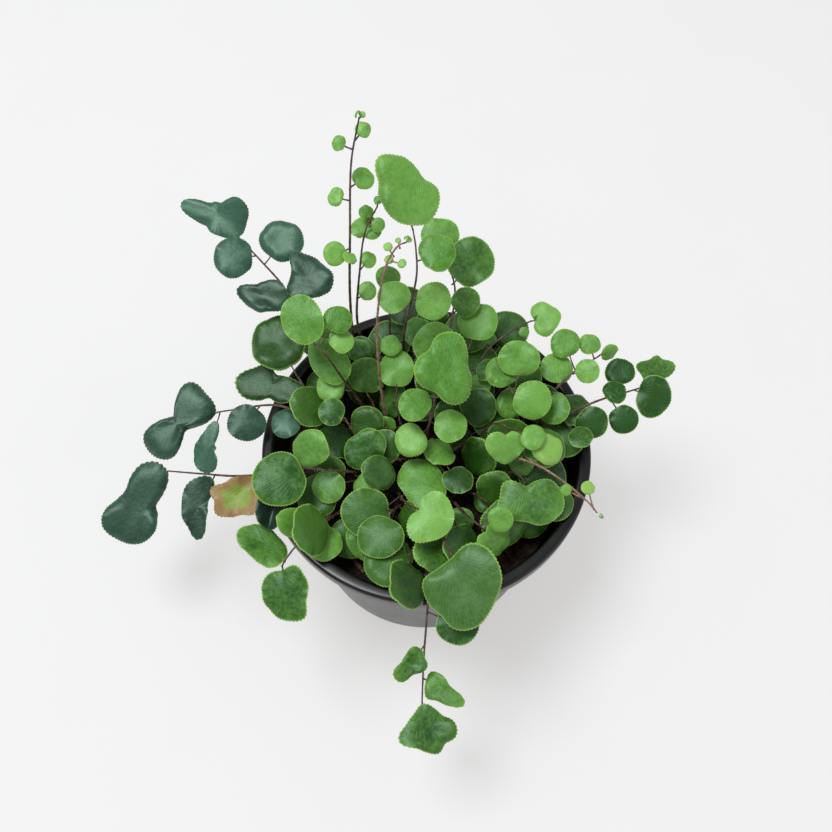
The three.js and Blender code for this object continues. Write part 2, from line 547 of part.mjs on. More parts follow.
// How a leaflet seen at a place hangs on its rachis: the share of the rachis at which its stalk is, its
// bearing and the length of the stalk. It takes the share that gives a stalk of about STALK_LENGTH,
// leaning forward a little. A stalk that is too short costs four times as much as one too long.
function hang(curve, [across, down, width, formName = 'round', fixedShare], isLast) {
  const form = FORMS[formName];
  let shares = Array.from({ length: 68 }, (_, i) => 0.3 + i / 100);
  if (isLast) shares = [1];
  if (fixedShare) shares = [fixedShare];
  let best = { cost: Infinity };
  for (const at of shares) {
    const foot = curve.getPoint(at);
    const reach = seenInPlane(across, down, foot).sub(foot).applyAxisAngle(LEAN_AXIS, -LEAN);
    const stalk = reach.length() - baseDepth(width / 2, form);
    const forward = reach.dot(curve.getTangent(at)) / reach.length();
    const misfit = stalk - STALK_LENGTH;
    const cost = Math.max(misfit, -4 * misfit) + 3 * Math.abs(forward - STALK_FORWARD);
    if (cost < best.cost) {
      const bearing = Math.atan2(reach.y, reach.x);
      best = { cost, at, bearing, width, stalk: Math.max(stalk, SHORTEST_STALK), form };
    }
  }
  return best;
}

// --- growth ---

// How far a point stands over a leaflet's surface, or null where it isn't over or under the leaflet.
function heightOver(leaf, point) {
  const offset = point.clone().sub(leaf.centre);
  const u = offset.dot(leaf.along) / (leaf.half * leaf.form.long);
  const v = offset.dot(leaf.across) / leaf.half;
  const angle = Math.atan2(v, u);
  const share = Math.hypot(u, v) / outline(leaf.form, angle);
  if (share > 1 + EDGE_MARGIN / leaf.half) return null;
  return offset.dot(leaf.normal) - leaf.half * surface(leaf, angle, Math.min(share, 1));
}

// Whether points cross a leaflet or come too near it. Points that form a line cross it only between
// neighbours, and loose points wherever they lie on both its sides.
function crosses(leaf, points, gap, isLine) {
  let side = 0;
  for (const point of points) {
    const height = heightOver(leaf, point);
    if (height === null) {
      if (isLine) side = 0;
      continue;
    }
    if (Math.abs(height) < gap || side * height < 0) return true;
    side = Math.sign(height);
  }
  return false;
}

function leafReach(leaf) {
  const furthest = leaf.form.edge ? Math.max(...leaf.form.edge) : 1;
  return leaf.half * Math.max(1, leaf.form.long) * furthest;
}

function touches(leaf, other) {
  const near = leafReach(leaf) + leafReach(other) + 2 * BLADE_CLEARANCE;
  if (leaf.centre.distanceTo(other.centre) > near) return false;
  return crosses(leaf, other.points, BLADE_CLEARANCE, false)
    || crosses(other, leaf.points, BLADE_CLEARANCE, false);
}

function meetsPot(leaf) {
  return leaf.points.some((point) => {
    const radius = Math.hypot(point.x, point.y);
    if (radius > RIM_RADIUS + 1 || point.z > POT_HEIGHT + RIM_CLEARANCE) return false;
    return radius > RIM_RADIUS - LIP_WIDTH - RIM_CLEARANCE || point.z < SOIL_CROWN + SOIL_CLEARANCE;
  });
}

// The points of a rachis that a leaflet keeps clear of: of its own, all but those next to its foot.
function rachisPoints(frond, leaf) {
  if (frond !== leaf.frond) return frond.line;
  return frond.line.filter((point, i) => Math.abs(i / (frond.line.length - 1) - leaf.at) > FOOT_SHARE);
}

function isClear(leaf, fronds, grown) {
  if (meetsPot(leaf)) return false;
  for (const frond of fronds) {
    if (crosses(leaf, rachisPoints(frond, leaf), RACHIS_CLEARANCE, true)) return false;
  }
  for (const other of grown) {
    if (touches(leaf, other)) return false;
    if (other.frond !== leaf.frond && crosses(leaf, other.stalkLine, STALK_CLEARANCE, true)) return false;
    if (other.frond !== leaf.frond && crosses(other, leaf.stalkLine, STALK_CLEARANCE, true)) return false;
  }
  return true;
}

// The changes of pose that a leaflet tries in turn, from none to the largest.
function poseFan() {
  const fan = [];
  for (const size of [1, 0.9, 0.8, 0.7]) {
    for (const pitch of [0, 10, -10, 20, -20, 32, -32, 45, -45]) {
      for (const roll of [0, 14, -14, 28, -28, 42, -42]) {
        fan.push({ pitch, roll, size, cost: Math.abs(pitch) + 0.8 * Math.abs(roll) + 160 * (1 - size) });
      }
    }
  }
  return fan.sort((a, b) => a.cost - b.cost);
}

// Each leaflet takes the first pose of the fan that clears everything grown before it.
function growLeaves(fronds) {
  const fan = poseFan();
  const grown = [];
  let number = 0;
  for (const frond of fronds) {
    for (const hung of frond.hung) {
      number += 1;
      const pitch = 16 * draw(number, 1) - 8;
      const roll = 26 * draw(number, 2) - 13;
      for (const change of fan) {
        const leaf = poseLeaf(frond, hung, number, pitch + change.pitch, roll + change.roll, change.size);
        if (isClear(leaf, fronds, grown)) {
          grown.push(leaf);
          frond.leaves.push(leaf);
          break;
        }
      }
    }
  }
}

// --- fronds ---

function rachisOf(name, colour, points) {
  const curve = new THREE.CatmullRomCurve3(points, false, 'catmullrom', 0.5);
  const line = curve.getPoints(Math.round(curve.getLength() / LINE_STEP));
  const steps = Math.max(2, Math.floor(curve.getLength() / RACHIS_STEP));
  return { name, colour, curve, line, steps, chain: curve.getSpacedPoints(steps), hung: [], leaves: [] };
}

function laidOutFrond({ name, colour, rachis, leaflets }) {
  const points = rachis.map((place) => seenAtHeight(place));
  points[0].setZ(ROOT_LEVEL);
  const frond = rachisOf(name, colour, points);
  frond.hung = leaflets.map((leaflet, i) => hang(frond.curve, leaflet, i === leaflets.length - 1));
  return frond;
}

// Short frond number i of a kind, turned aside by some degrees from its own bearing.
function shortFrond(kind, i, aside) {
  const drawn = ([least, spread], k) => least + spread * draw(i, kind.series + k);
  const further = i % 2 === 1 ? kind.apart : 0;
  const reach = further + drawn(kind.reach, 0);
  const root = further + drawn(kind.root, 1);
  const bearing = radians(kind.start + kind.turn * i + aside);
  const places = [[root, ROOT_LEVEL], [reach - kind.bend, kind.knee], [reach, drawn(kind.tip, 2)]];
  const points = places.map(([radius, height]) => (
    new THREE.Vector3(radius * Math.cos(bearing), radius * Math.sin(bearing), height)
  ));
  const frond = rachisOf(`${kind.name}_${i + 1}`, 'dark', points);
  frond.isShort = true;
  frond.hung = kind.leaflets.map(([at, side], k) => {
    const width = drawn(kind.width, 3 + k);
    return { at, bearing: bearing + radians(side), width, stalk: SHORT_FROND_STALK, form: FORMS.round };
  });
  return frond;
}

function isApart(frond, other) {
  return frond.line.every((point) => other.line.every((place) => point.distanceTo(place) > RACHIS_SPACING));
}

// Each short frond takes the first bearing, a few steps to one side or the other of its own, at which its
// rachis clears those before it.
function addShortFronds(fronds, kind) {
  for (let i = 0; i < kind.count; i += 1) {
    for (let k = 0; k < kind.steps; k += 1) {
      const frond = shortFrond(kind, i, k % 2 === 0 ? k * kind.step : -k * kind.step);
      if (fronds.every((other) => isApart(frond, other))) {
        fronds.push(frond);
        break;
      }
    }
  }
}

function bladeSolid(leaf) {
  const isSmall = 2 * leaf.half < SMALL_WIDTH || leaf.frond.isShort;
  const sides = isSmall ? SMALL_SIDES : leaf.form.sides;
  const geometry = new THREE.CylinderGeometry(1, 1, 1, sides, 1, false, -Math.PI / 2);
  const places = geometry.attributes.position;
  for (let i = 0; i < places.count; i += 1) {
    const [x, y, z] = [places.getX(i), places.getY(i), places.getZ(i)];
    const share = Math.min(1, Math.hypot(x, z));
    const point = leafPoint(leaf, Math.atan2(-z, x), share).addScaledVector(leaf.normal, y * BLADE_THICKNESS);
    places.setXYZ(i, point.x, point.y, point.z);
  }
  return solidOf(geometry);
}

function stalkSolid(leaf) {
  const line = new THREE.LineCurve3(leaf.stalkLine.at(0), leaf.stalkLine.at(-1));
  return solidOf(tubeAlong(line, STALK_RADIUS, STALK_SIDES, 1));
}

function frondSolid(frond) {
  let solid = solidOf(tubeAlong(frond.curve, RACHIS_RADIUS, RACHIS_SIDES, frond.steps));
  for (const leaf of frond.leaves) solid = solid.add(bladeSolid(leaf)).add(stalkSolid(leaf));
  return solid;
}

// --- the plant ---

const allFronds = FRONDS.map(laidOutFrond);
for (const kind of SHORT_FRONDS) addShortFronds(allFronds, kind);
growLeaves(allFronds);
// A short frond that finds no room for a leaflet is left out.
const fronds = allFronds.filter((frond) => frond.leaves.length > 0);

const plant = new THREE.Group();
plant.add(nodeOf('pot', makePot(), '#17181a', 0.4));
plant.add(nodeOf('soil', makeSoil(fronds, [barkChip(GAP), twig(GAP)]), '#2b2019', 0.95));
plant.add(nodeOf('bark_chip', barkChip(0), '#6b3a22', 0.9));
plant.add(nodeOf('twig', twig(0), '#6a4a33', 0.9));
for (const frond of fronds) {
  plant.add(nodeOf(`frond_${frond.name}`, frondSolid(frond), LEAF_COLOURS[frond.colour], 0.5));
}

export default plant;
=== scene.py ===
# %% [markdown]
# # A potted button fern
#
# A button fern has wiry dark fronds with round, leathery leaflets. This one grows in a black plastic
# nursery pot. The solid model of it is already there: a pot, the soil, a bark chip, a twig, and one solid
# for each frond. Its leaflets are coarse, because a light solid model has few facets. This lesson grows the
# same plant again with fine leaflets, and gives every piece the finish that it has on the real thing.
#
# A solid model and a fine one that disagree are no use, so the first step is to load the solid model and to
# keep its size. Everything below is worked out in millimetres, as a grower would measure it, and turned
# into Blender's metres only when a mesh is made.

import math

import bmesh
import bpy
import numpy as np
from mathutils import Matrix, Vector


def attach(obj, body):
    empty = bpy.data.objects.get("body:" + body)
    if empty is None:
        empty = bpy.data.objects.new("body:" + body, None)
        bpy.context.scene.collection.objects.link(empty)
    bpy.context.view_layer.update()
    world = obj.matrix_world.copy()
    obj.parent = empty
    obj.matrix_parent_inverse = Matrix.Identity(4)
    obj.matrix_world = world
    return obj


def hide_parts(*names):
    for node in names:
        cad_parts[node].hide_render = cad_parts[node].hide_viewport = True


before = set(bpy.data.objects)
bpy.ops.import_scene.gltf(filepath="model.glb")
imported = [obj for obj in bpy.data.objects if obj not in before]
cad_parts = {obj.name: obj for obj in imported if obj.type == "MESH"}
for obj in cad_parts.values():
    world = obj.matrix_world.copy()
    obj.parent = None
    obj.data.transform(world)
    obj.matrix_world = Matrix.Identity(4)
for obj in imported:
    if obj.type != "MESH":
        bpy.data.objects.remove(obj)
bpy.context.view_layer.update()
MILLIMETRE = 0.001

# %% [markdown]
# ## The plan of the plant
#
# A grower who copies a plant draws it from one side and notes where each stem bends. The list below is such
# a plan. It is drawn as an eye sees the plant that looks down on it from the front. Each frond has a thin
# stem, the rachis, which runs through points: two numbers say where the point is in that view, and the
# third is its height in millimetres. Each leaflet has the place of its middle in the view, its width in
# millimetres and, where it isn't plain round, its form. The last one ends the frond. A fifth value, where
# there is one, fixes how far along the rachis the leaflet hangs, from 0 to 1.
#
# The plan has to say the same as the solid model's, number for number, or the fine fronds would leave their
# solids.

# %% The plan of the fronds
FRONDS = [
  ("tall_left", "bright",
    [[360, 394, 62], [354, 345, 86], [350, 296, 114], [350, 232, 150], [351, 165, 172], [359, 118, 186]],
    [[335, 254, 8], [350, 260, 5], [336, 197, 6, "wide"], [363, 178, 7], [339, 144, 5, "wide"],
      [363, 130, 5], [362, 115, 2]]),
  ("tall_middle", "bright",
    [[374, 398, 62], [365, 352, 84], [357, 318, 102], [360, 268, 124], [365, 232, 136], [377, 207, 142]],
    [[367, 291, 7], [368, 260, 6], [366, 228, 10, "heart"], [378, 225, 5], [366, 212, 5], [378, 200, 3]]),
  ("big_leaf", "bright",
    [[408, 402, 62], [404, 352, 88], [405, 328, 106], [416, 280, 132], [416, 250, 142], [413, 230, 146]],
    [[391, 346, 8], [394, 297, 12], [433, 301, 13], [437, 252, 13], [405, 194, 21, "shield"]]),
  ("young", "young",
    [[392, 442, 62], [387, 420, 80], [380, 380, 100], [377, 325, 122], [384, 272, 142], [396, 248, 150],
      [404, 243, 151]],
    [[388, 247, 3], [389, 260, 3], [402, 264, 3], [398, 240, 2], [409, 240, 2]]),
  ("back_right", "mid",
    [[434, 420, 62], [440, 385, 84], [450, 330, 100], [455, 290, 106], [448, 264, 108]],
    [[466, 303, 11], [470, 262, 18, "wavy"], [440, 236, 14]]),
  ("back_middle", "mid",
    [[392, 398, 62], [390, 352, 84], [390, 312, 100], [389, 298, 105]],
    [[418, 332, 12], [388, 278, 9]]),
  ("back_fan", "mid",
    [[448, 430, 62], [456, 390, 84], [466, 355, 96], [472, 340, 99]],
    [[433, 346, 16], [488, 372, 9], [480, 388, 9], [478, 322, 15]]),
  ("left_high", "bright",
    [[378, 440, 62], [366, 412, 78], [345, 382, 96], [325, 354, 112], [315, 345, 115]],
    [[331, 387, 11, "round", 0.42], [330, 362, 13, "long"], [341, 340, 9], [338, 320, 10],
      [303, 321, 14, "ovate"]]),
  ("upper_left", "teal",
    [[345, 425, 62], [330, 385, 86], [306, 330, 98], [285, 289, 100], [262, 262, 97], [239, 238, 93]],
    [[308, 277, 16, "cap"], [265, 297, 13, "beak"], [282, 242, 17], [234, 258, 16],
      [224, 221, 24, "wing"]]),
  ("left_dark", "dark",
    [[336, 432, 62], [322, 404, 80], [306, 388, 87], [297, 376, 89]],
    [[272, 385, 15, "twin"], [279, 343, 21, "wavy"]]),
  ("mid_left", "teal",
    [[335, 446, 62], [315, 424, 80], [290, 409, 89], [268, 405, 88], [232, 410, 82], [218, 412, 78]],
    [[286, 424, 11], [247, 423, 14], [207, 450, 11, "moon"], [180, 425, 27, "bow"]]),
  ("lower_left", "teal",
    [[340, 458, 62], [312, 462, 82], [285, 472, 89], [240, 476, 82], [205, 474, 72], [168, 471, 64]],
    [[275, 508, 11, "folded"], [238, 497, 16, "withered"], [198, 507, 12, "drop"],
      [138, 508, 21, "mitten"]]),
  ("inner_left", "mid",
    [[372, 494, 62], [345, 508, 74], [322, 525, 82], [300, 542, 84], [288, 556, 83], [282, 566, 81]],
    [[323, 543, 14], [292, 522, 10, "long"], [263, 546, 13, "long", 0.9], [286, 593, 17, "heel"]]),
  ("centre", "bright",
    [[410, 466, 62], [417, 450, 76], [428, 428, 93], [434, 404, 106], [434, 394, 109]],
    [[411, 440, 12], [450, 426, 12], [415, 405, 12], [443, 371, 20, "pear"]]),
  ("centre_left", "mid",
    [[404, 456, 62], [402, 436, 76], [398, 412, 84], [396, 398, 87]],
    [[384, 428, 9], [394, 408, 7], [397, 370, 13, "wavy"]]),
  ("crenate", "mid",
    [[384, 470, 62], [370, 456, 76], [352, 430, 88], [345, 418, 90]],
    [[366, 450, 18, "wide"], [332, 412, 10]]),
  ("left_back", "mid",
    [[387, 448, 62], [380, 424, 74], [373, 404, 82], [367, 394, 85]],
    [[367, 378, 14]]),
  ("back_small", "mid",
    [[367, 424, 62], [362, 400, 76], [361, 374, 88]],
    [[361, 350, 10]]),
  ("left_low", "mid",
    [[372, 474, 62], [352, 472, 82], [325, 470, 92], [305, 468, 95]],
    [[366, 486, 9], [329, 486, 12], [311, 449, 14], [280, 480, 19]]),
  ("front_middle", "bright",
    [[398, 484, 62], [400, 496, 78], [408, 504, 90], [418, 509, 96]],
    [[376, 514, 11], [422, 484, 20, "wide"], [429, 517, 16, "heart"]]),
  ("right_inner", "mid",
    [[440, 466, 62], [450, 454, 76], [467, 440, 80], [474, 433, 81]],
    [[434, 455, 14, "round", 0.5], [480, 460, 16], [489, 423, 13]]),
  ("right_high", "mid",
    [[480, 456, 62], [511, 442, 74], [524, 416, 89], [514, 394, 98]],
    [[512, 404, 12, "round", 0.55], [502, 372, 12], [518, 360, 15, "wide"], [526, 398, 14]]),
  ("right_heart", "bright",
    [[462, 462, 62], [476, 440, 80], [492, 424, 94], [506, 426, 99]],
    [[533, 437, 9], [506, 446, 13, "heart"]]),
  ("right_low", "mid",
    [[460, 478, 62], [490, 476, 76], [512, 472, 84], [522, 478, 86]],
    [[487, 500, 10], [521, 464, 9], [531, 503, 19, "kidney"]]),
  ("bare_right", "young",
    [[452, 470, 62], [500, 458, 84], [530, 462, 92], [560, 479, 94], [588, 502, 92], [597, 513, 91]],
    [[548, 448, 12], [588, 488, 5, "round", 0.93], [566, 490, 4, "round", 0.75]]),
  ("back_spray", "bright",
    [[462, 420, 62], [472, 385, 84], [486, 352, 94], [510, 332, 98], [531, 321, 99]],
    [[490, 339, 5], [524, 332, 4], [545, 319, 12, "heart"]]),
  ("right_spray", "bright",
    [[478, 430, 62], [510, 412, 80], [545, 398, 90], [570, 375, 96], [599, 356, 98]],
    [[554, 410, 12], [565, 344, 11], [557, 368, 12], [587, 372, 9], [590, 344, 8], [609, 352, 7]]),
  ("far_right", "mid",
    [[486, 446, 62], [530, 432, 80], [572, 412, 88], [600, 400, 86], [630, 391, 82], [650, 385, 79]],
    [[592, 422, 12], [580, 440, 9], [615, 392, 9], [620, 372, 11], [624, 419, 11], [653, 396, 16, "wide"],
      [653, 372, 11, "spiky"]]),
  ("front_right", "mid",
    [[440, 488, 62], [458, 506, 78], [470, 518, 86], [480, 526, 88]],
    [[460, 520, 10], [500, 520, 9], [497, 542, 15, "heart"]]),
  ("front_big", "mid",
    [[428, 492, 62], [436, 515, 80], [444, 538, 90], [452, 556, 93]],
    [[462, 584, 25, "fan"]]),
  ("front_left", "mid",
    [[402, 492, 62], [394, 512, 74], [388, 528, 80]],
    [[399, 556, 12], [365, 541, 17, "wide"]]),
  ("front_dull", "mid",
    [[414, 492, 62], [418, 515, 74], [424, 534, 85]],
    [[434, 552, 17, "wide"]]),
  ("trailing", "mid",
    [[420, 500, 62], [424, 545, 71], [428, 590, 83], [427, 615, 82], [424, 655, 70], [422, 702, 58]],
    [[457, 622, 15], [412, 664, 10, "sickle"], [441, 689, 10, "tongue"], [430, 727, 15, "kite"]]),
]
print("fronds in the plan:", len(FRONDS), "leaflets:", sum(len(leaflets) for _, _, _, leaflets in FRONDS))

# %% [markdown]
# ## The forms of a leaflet
#
# Most leaflets are nearly round or oval. `long` is the length over the width, `notch` is how deep the base
# is cut in, and `cup`, `fold` and `wave` bend the blade. All of them are shares of half its width. The
# large and old leaflets are each cut in their own way: hearts, fans, wings, mittens. One formula can't draw
# those, so they have an edge instead: how far out it lies, in the same shares, at the tip and then at every
# 30 degrees, anticlockwise as seen from above.

# %% The forms
def even(long, notch, cup, fold, wave):
    return {"long": long, "notch": notch, "cup": cup, "fold": fold, "wave": wave, "edge": None}


def uneven(edge, cup, fold, wave):
    return {"long": 1, "notch": 0, "cup": cup, "fold": fold, "wave": wave, "edge": np.array(edge)}


FORMS = {
    "round": even(0.97, 0.1, -0.14, 0, 0.03),
    "ovate": even(1.3, 0.08, -0.12, 0.05, 0.05),
    "wide": even(0.85, 0.14, -0.12, 0.1, 0.05),
    "long": even(1.5, 0.1, -0.12, 0.15, 0.08),
    "folded": even(1.45, 0.1, 0, 0.75, 0.06),
    "wavy": even(1.05, 0.1, -0.08, 0.1, 0.13),
    "heart": uneven([0.95, 0.95, 0.95, 1.1, 1.15, 0.9, 0.6, 0.9, 1.1, 1.15, 0.95, 0.9], -0.12, 0.05, 0.05),
    "pear": uneven([1.3, 1.25, 0.85, 0.95, 1.05, 0.95, 0.85, 1.2, 1.3, 1.05, 0.85, 1], -0.12, 0.05, 0.05),
    "shield": uneven([1.2, 1.3, 0.85, 0.85, 0.9, 1, 1.05, 1.15, 1.1, 0.95, 0.75, 0.9], -0.12, 0.05, 0.05),
    "heel": uneven([1.1, 1.25, 0.9, 0.9, 1.05, 1.2, 0.95, 1, 1, 0.95, 0.95, 1.05], -0.12, 0.05, 0.05),
    "fan": uneven([1, 0.9, 0.9, 1.1, 1.2, 1.15, 0.85, 0.85, 1.1, 1, 0.9, 1.05], -0.12, 0.05, 0.05),
    "kidney": uneven([0.85, 1.05, 1.2, 1.2, 1.1, 0.8, 0.65, 1.2, 1.2, 1.35, 0.85, 0.7], -0.1, 0.06, 0.05),
    "cap": uneven([1, 1.1, 1.45, 0.9, 0.9, 1.15, 1.2, 1.05, 1.05, 1.2, 1.2, 1], -0.12, 0.1, 0.08),
    "wing": uneven([0.6, 1.25, 0.8, 0.55, 0.65, 0.75, 0.95, 0.95, 1.05, 0.85, 0.45, 0.45], -0.1, 0.15, 0.1),
    "beak": uneven([1.7, 1.25, 1, 0.95, 0.9, 1.2, 1.5, 1.3, 1.2, 1, 0.9, 1], -0.1, 0.2, 0.08),
    "bow": uneven([1, 1.1, 0.95, 0.5, 0.35, 0.4, 1.1, 1.15, 1.2, 0.35, 0.35, 0.5], -0.12, 0.1, 0.08),
    "mitten": uneven([1.2, 1.15, 1.1, 1, 0.8, 0.8, 1.8, 1.8, 0.95, 0.8, 1, 1.2], -0.12, 0.1, 0.08),
    "twin": uneven([1.9, 1.65, 1, 0.65, 0.9, 1.25, 1.9, 1.1, 0.65, 0.6, 1.1, 1.45], -0.08, 0.1, 0.08),
    "moon": uneven([1.45, 1.5, 1.2, 0.65, 0.75, 0.8, 2, 1.15, 0.9, 0.95, 1, 1.2], -0.1, 0.2, 0.08),
    "drop": uneven([1.3, 2.05, 1, 0.7, 0.6, 0.8, 1.9, 1.75, 1.45, 1.05, 0.95, 1.05], -0.1, 0.2, 0.08),
    "withered": uneven([1.15, 0.95, 0.9, 1.15, 1, 1, 1.15, 0.9, 0.8, 0.8, 1.2, 0.95], 0.1, 0.15, 0.12),
    "kite": uneven([1.05, 0.85, 1.15, 1.1, 0.85, 0.95, 1.2, 1.05, 1.1, 1.5, 1.05, 1], -0.1, 0.2, 0.1),
    "sickle": uneven([1.4, 0.8, 0.7, 0.85, 1, 0.95, 1.15, 1.2, 0.8, 0.7, 0.85, 1.4], -0.1, 0.2, 0.06),
    "tongue": uneven([1.85, 0.9, 0.65, 0.75, 1, 1.3, 1.1, 1.1, 1.15, 0.85, 0.85, 1.2], -0.1, 0.15, 0.06),
    "spiky": uneven([1, 0.8, 0.9, 1.3, 0.95, 0.95, 1, 0.85, 0.95, 1.3, 1.5, 1], 0, 0.1, 0.1),
}
print("forms:", ", ".join(FORMS))

# %% [markdown]
# ## The view that the plan is drawn in
#
# A place in a view is a line of sight, not a point: the eye could see that spot near or far. A height
# settles it for the stems. A leaflet is settled by a plane instead. The leaflets of this fern lie nearly
# flat and lean a little towards the light, so each lies in a leaning plane through the foot of its own
# stalk.

# %% From a place in the view to a point
EYE_AIM = np.array([-3.8, 11.7, 78])
EYE_DISTANCE = 345
EYE_RISE = math.radians(61.2)
VIEW_MIDDLE = 416
VIEW_FOCUS = 932
LEAN = math.radians(20)
LEAN_NORMAL = np.array([0, -math.sin(LEAN), math.cos(LEAN)])

view_up = np.array([0, math.sin(EYE_RISE), math.cos(EYE_RISE)])
view_back = np.array([0, -math.cos(EYE_RISE), math.sin(EYE_RISE)])
eye = EYE_AIM + EYE_DISTANCE * view_back


def sight(across, down):
    """The way from the eye to a place in the view."""
    return (np.array([(across - VIEW_MIDDLE) / VIEW_FOCUS, 0, 0])
            + view_up * (VIEW_MIDDLE - down) / VIEW_FOCUS - view_back)


def seen_at_height(across, down, height):
    way = sight(across, down)
    return eye + way * (height - eye[2]) / way[2]


def seen_in_plane(across, down, origin):
    way = sight(across, down)
    return eye + way * ((origin - eye) @ LEAN_NORMAL) / (way @ LEAN_NORMAL)


def leaned(x, y, z, lean=LEAN):
    return np.array([x, y * math.cos(lean) - z * math.sin(lean), y * math.sin(lean) + z * math.cos(lean)])


print("the eye stands at", eye.round(1), "mm")

# %% [markdown]
# ## Curves
#
# A rachis bends smoothly, so its few points are joined by a Catmull-Rom curve, which passes through each of
# them. Blender has curve objects, but working it out here means that a leaflet can be hung on any point of
# it before there is a mesh.

# %% A smooth curve through points
def curve_point(points, t):
    spans = len(points) - 1
    place = t * spans
    i = min(int(place), spans - 1)
    w = place - i
    here, there = points[i], points[i + 1]
    before = points[i - 1] if i > 0 else 2 * here - there
    after = points[i + 2] if i + 2 <= spans else 2 * there - here
    leave, arrive = (there - before) / 2, (after - here) / 2
    return ((2 * here - 2 * there + leave + arrive) * w**3
            + (3 * there - 3 * here - 2 * leave - arrive) * w**2 + leave * w + here)


def curve_line(points, count):
    return np.array([curve_point(points, i / count) for i in range(count + 1)])


def curve_lengths(points):
    line = curve_line(points, 200)
    steps = np.linalg.norm(np.diff(line, axis=0), axis=1)
    return np.concatenate([[0], np.cumsum(steps)])


def even_line(points, count):
    """Points along the curve at equal distances."""
    lengths = curve_lengths(points)
    shares = np.interp(np.linspace(0, lengths[-1], count + 1), lengths, np.linspace(0, 1, 201))
    return np.array([curve_point(points, t) for t in shares])


def heading(points, t):
    step = curve_point(points, min(1, t + 1e-4)) - curve_point(points, max(0, t - 1e-4))
    return step / np.linalg.norm(step)


def draw(i, k):
    """A repeatable draw between 0 and 1 for item i of series k."""
    value = math.sin(i * 12.9898 + k * 78.233) * 43758.5453
    return value - math.floor(value)

# %% [markdown]
# ## One leaflet
#
# A leaflet is a thin blade. Its middle layer is given by two numbers: the angle round its centre, where the
# base is at 180 degrees, and the share of the way out to the edge. A formula is better here than a modelled
# leaf that is copied about, because the same formula can tell how far a point lies over the blade. The test
# for crossings needs that.

# %% The blade's formula
STALK_LENGTH = 1.5
SHORTEST_STALK = 0.5
STALK_FORWARD = 0.35
NOTCH_BREADTH = 0.45


def edge_share(edge, angle):
    """How far out an uneven edge lies. It runs smoothly through its shares."""
    place = (angle / (2 * math.pi) + 1) * len(edge)
    i = np.floor(place).astype(int)
    w = place - i
    before, here, there, after = (edge[(i + k) % len(edge)] for k in (-1, 0, 1, 2))
    leave, arrive = (there - before) / 2, (after - here) / 2
    return ((2 * here - 2 * there + leave + arrive) * w**3
            + (3 * there - 3 * here - 2 * leave - arrive) * w**2 + leave * w + here)


def outline(form, angle):
    """How far the edge lies from the middle at an angle."""
    if form["edge"] is not None:
        return edge_share(form["edge"], angle)
    from_base = math.pi - np.abs(angle)
    return 1 - form["notch"] * np.exp(-(from_base / NOTCH_BREADTH) ** 2)


def base_depth(half, form):
    return half * form["long"] * float(outline(form, math.pi))


def surface(leaf, angle, share):
    form = leaf.form
    return (form["cup"] * share**2 + form["fold"] * (np.abs(np.sin(angle)) * share - 0.4)
            + form["wave"] * np.sin(3 * angle + leaf.phase) * share**2)


def nearest_on(chain, point):
    nearest = chain[0]
    for start, end in zip(chain, chain[1:]):
        step = end - start
        place = start + step * min(1, max(0, (point - start) @ step / (step @ step)))
        if np.linalg.norm(place - point) < np.linalg.norm(nearest - point):
            nearest = place
    return nearest


class Leaf:
    """A leaflet posed on its frond. pitch raises its tip, roll turns it about its length."""

    def __init__(self, frond, hung, number, pitch, roll, size):
        self.at, bearing, width, stalk, self.kind = hung
        self.frond, self.number = frond, number
        self.form = FORMS[self.kind]
        self.half = width * size / 2
        rise, lean = math.radians(pitch), math.radians(roll)
        level = math.cos(rise)
        self.along = leaned(math.cos(bearing) * level, math.sin(bearing) * level, math.sin(rise))
        flat = leaned(-math.sin(bearing), math.cos(bearing), 0)
        up = np.cross(self.along, flat)
        self.across = flat * math.cos(lean) + up * math.sin(lean)
        self.normal = np.cross(self.along, self.across)
        self.phase = 2 * math.pi * draw(number, 3)
        self.foot = curve_point(frond.points, self.at)
        self.centre = (self.foot + self.along * (stalk + base_depth(self.half, self.form))
                       - self.normal * self.half * surface(self, math.pi, 1))
        angles = math.pi - np.arange(12) * math.pi / 6
        self.samples = np.concatenate([
            self.points(np.array([math.pi]), 0), self.points(angles, 0.5), self.points(angles, 1)])
        tip = self.points(np.array([math.pi]), 1)[0] + self.along
        start = nearest_on(frond.chain, self.foot)
        self.stalk = start + (tip - start) * np.linspace(0, 1, 5)[:, None]

    def points(self, angle, share):
        reach = self.half * outline(self.form, angle) * share
        return (self.centre + np.outer(reach * self.form["long"] * np.cos(angle), self.along)
                + np.outer(reach * np.sin(angle), self.across)
                + np.outer(self.half * surface(self, angle, share), self.normal))

    def reach(self):
        edge = self.form["edge"]
        return self.half * max(1, self.form["long"]) * (1 if edge is None else edge.max())

# %% [markdown]
# ## A frond
#
# The plan says where a leaflet is seen, not where its stalk leaves the rachis. On the plant the stalk is
# very short and leans forward a little, so each leaflet takes the point of the rachis from which that comes
# true most nearly. A stalk that comes out too short costs four times as much as one that is too long.

# %% Hang the leaflets on a rachis
ROOT_LEVEL = 60
RACHIS_STEP = 12
LINE_STEP = 1.2


class Frond:
    def __init__(self, name, colour, points):
        self.name, self.colour, self.points = name, colour, points
        self.length = curve_lengths(points)[-1]
        self.line = curve_line(points, math.floor(self.length / LINE_STEP + 0.5))
        self.chain = even_line(points, max(2, int(self.length // RACHIS_STEP)))
        self.hung = []
        self.leaves = []


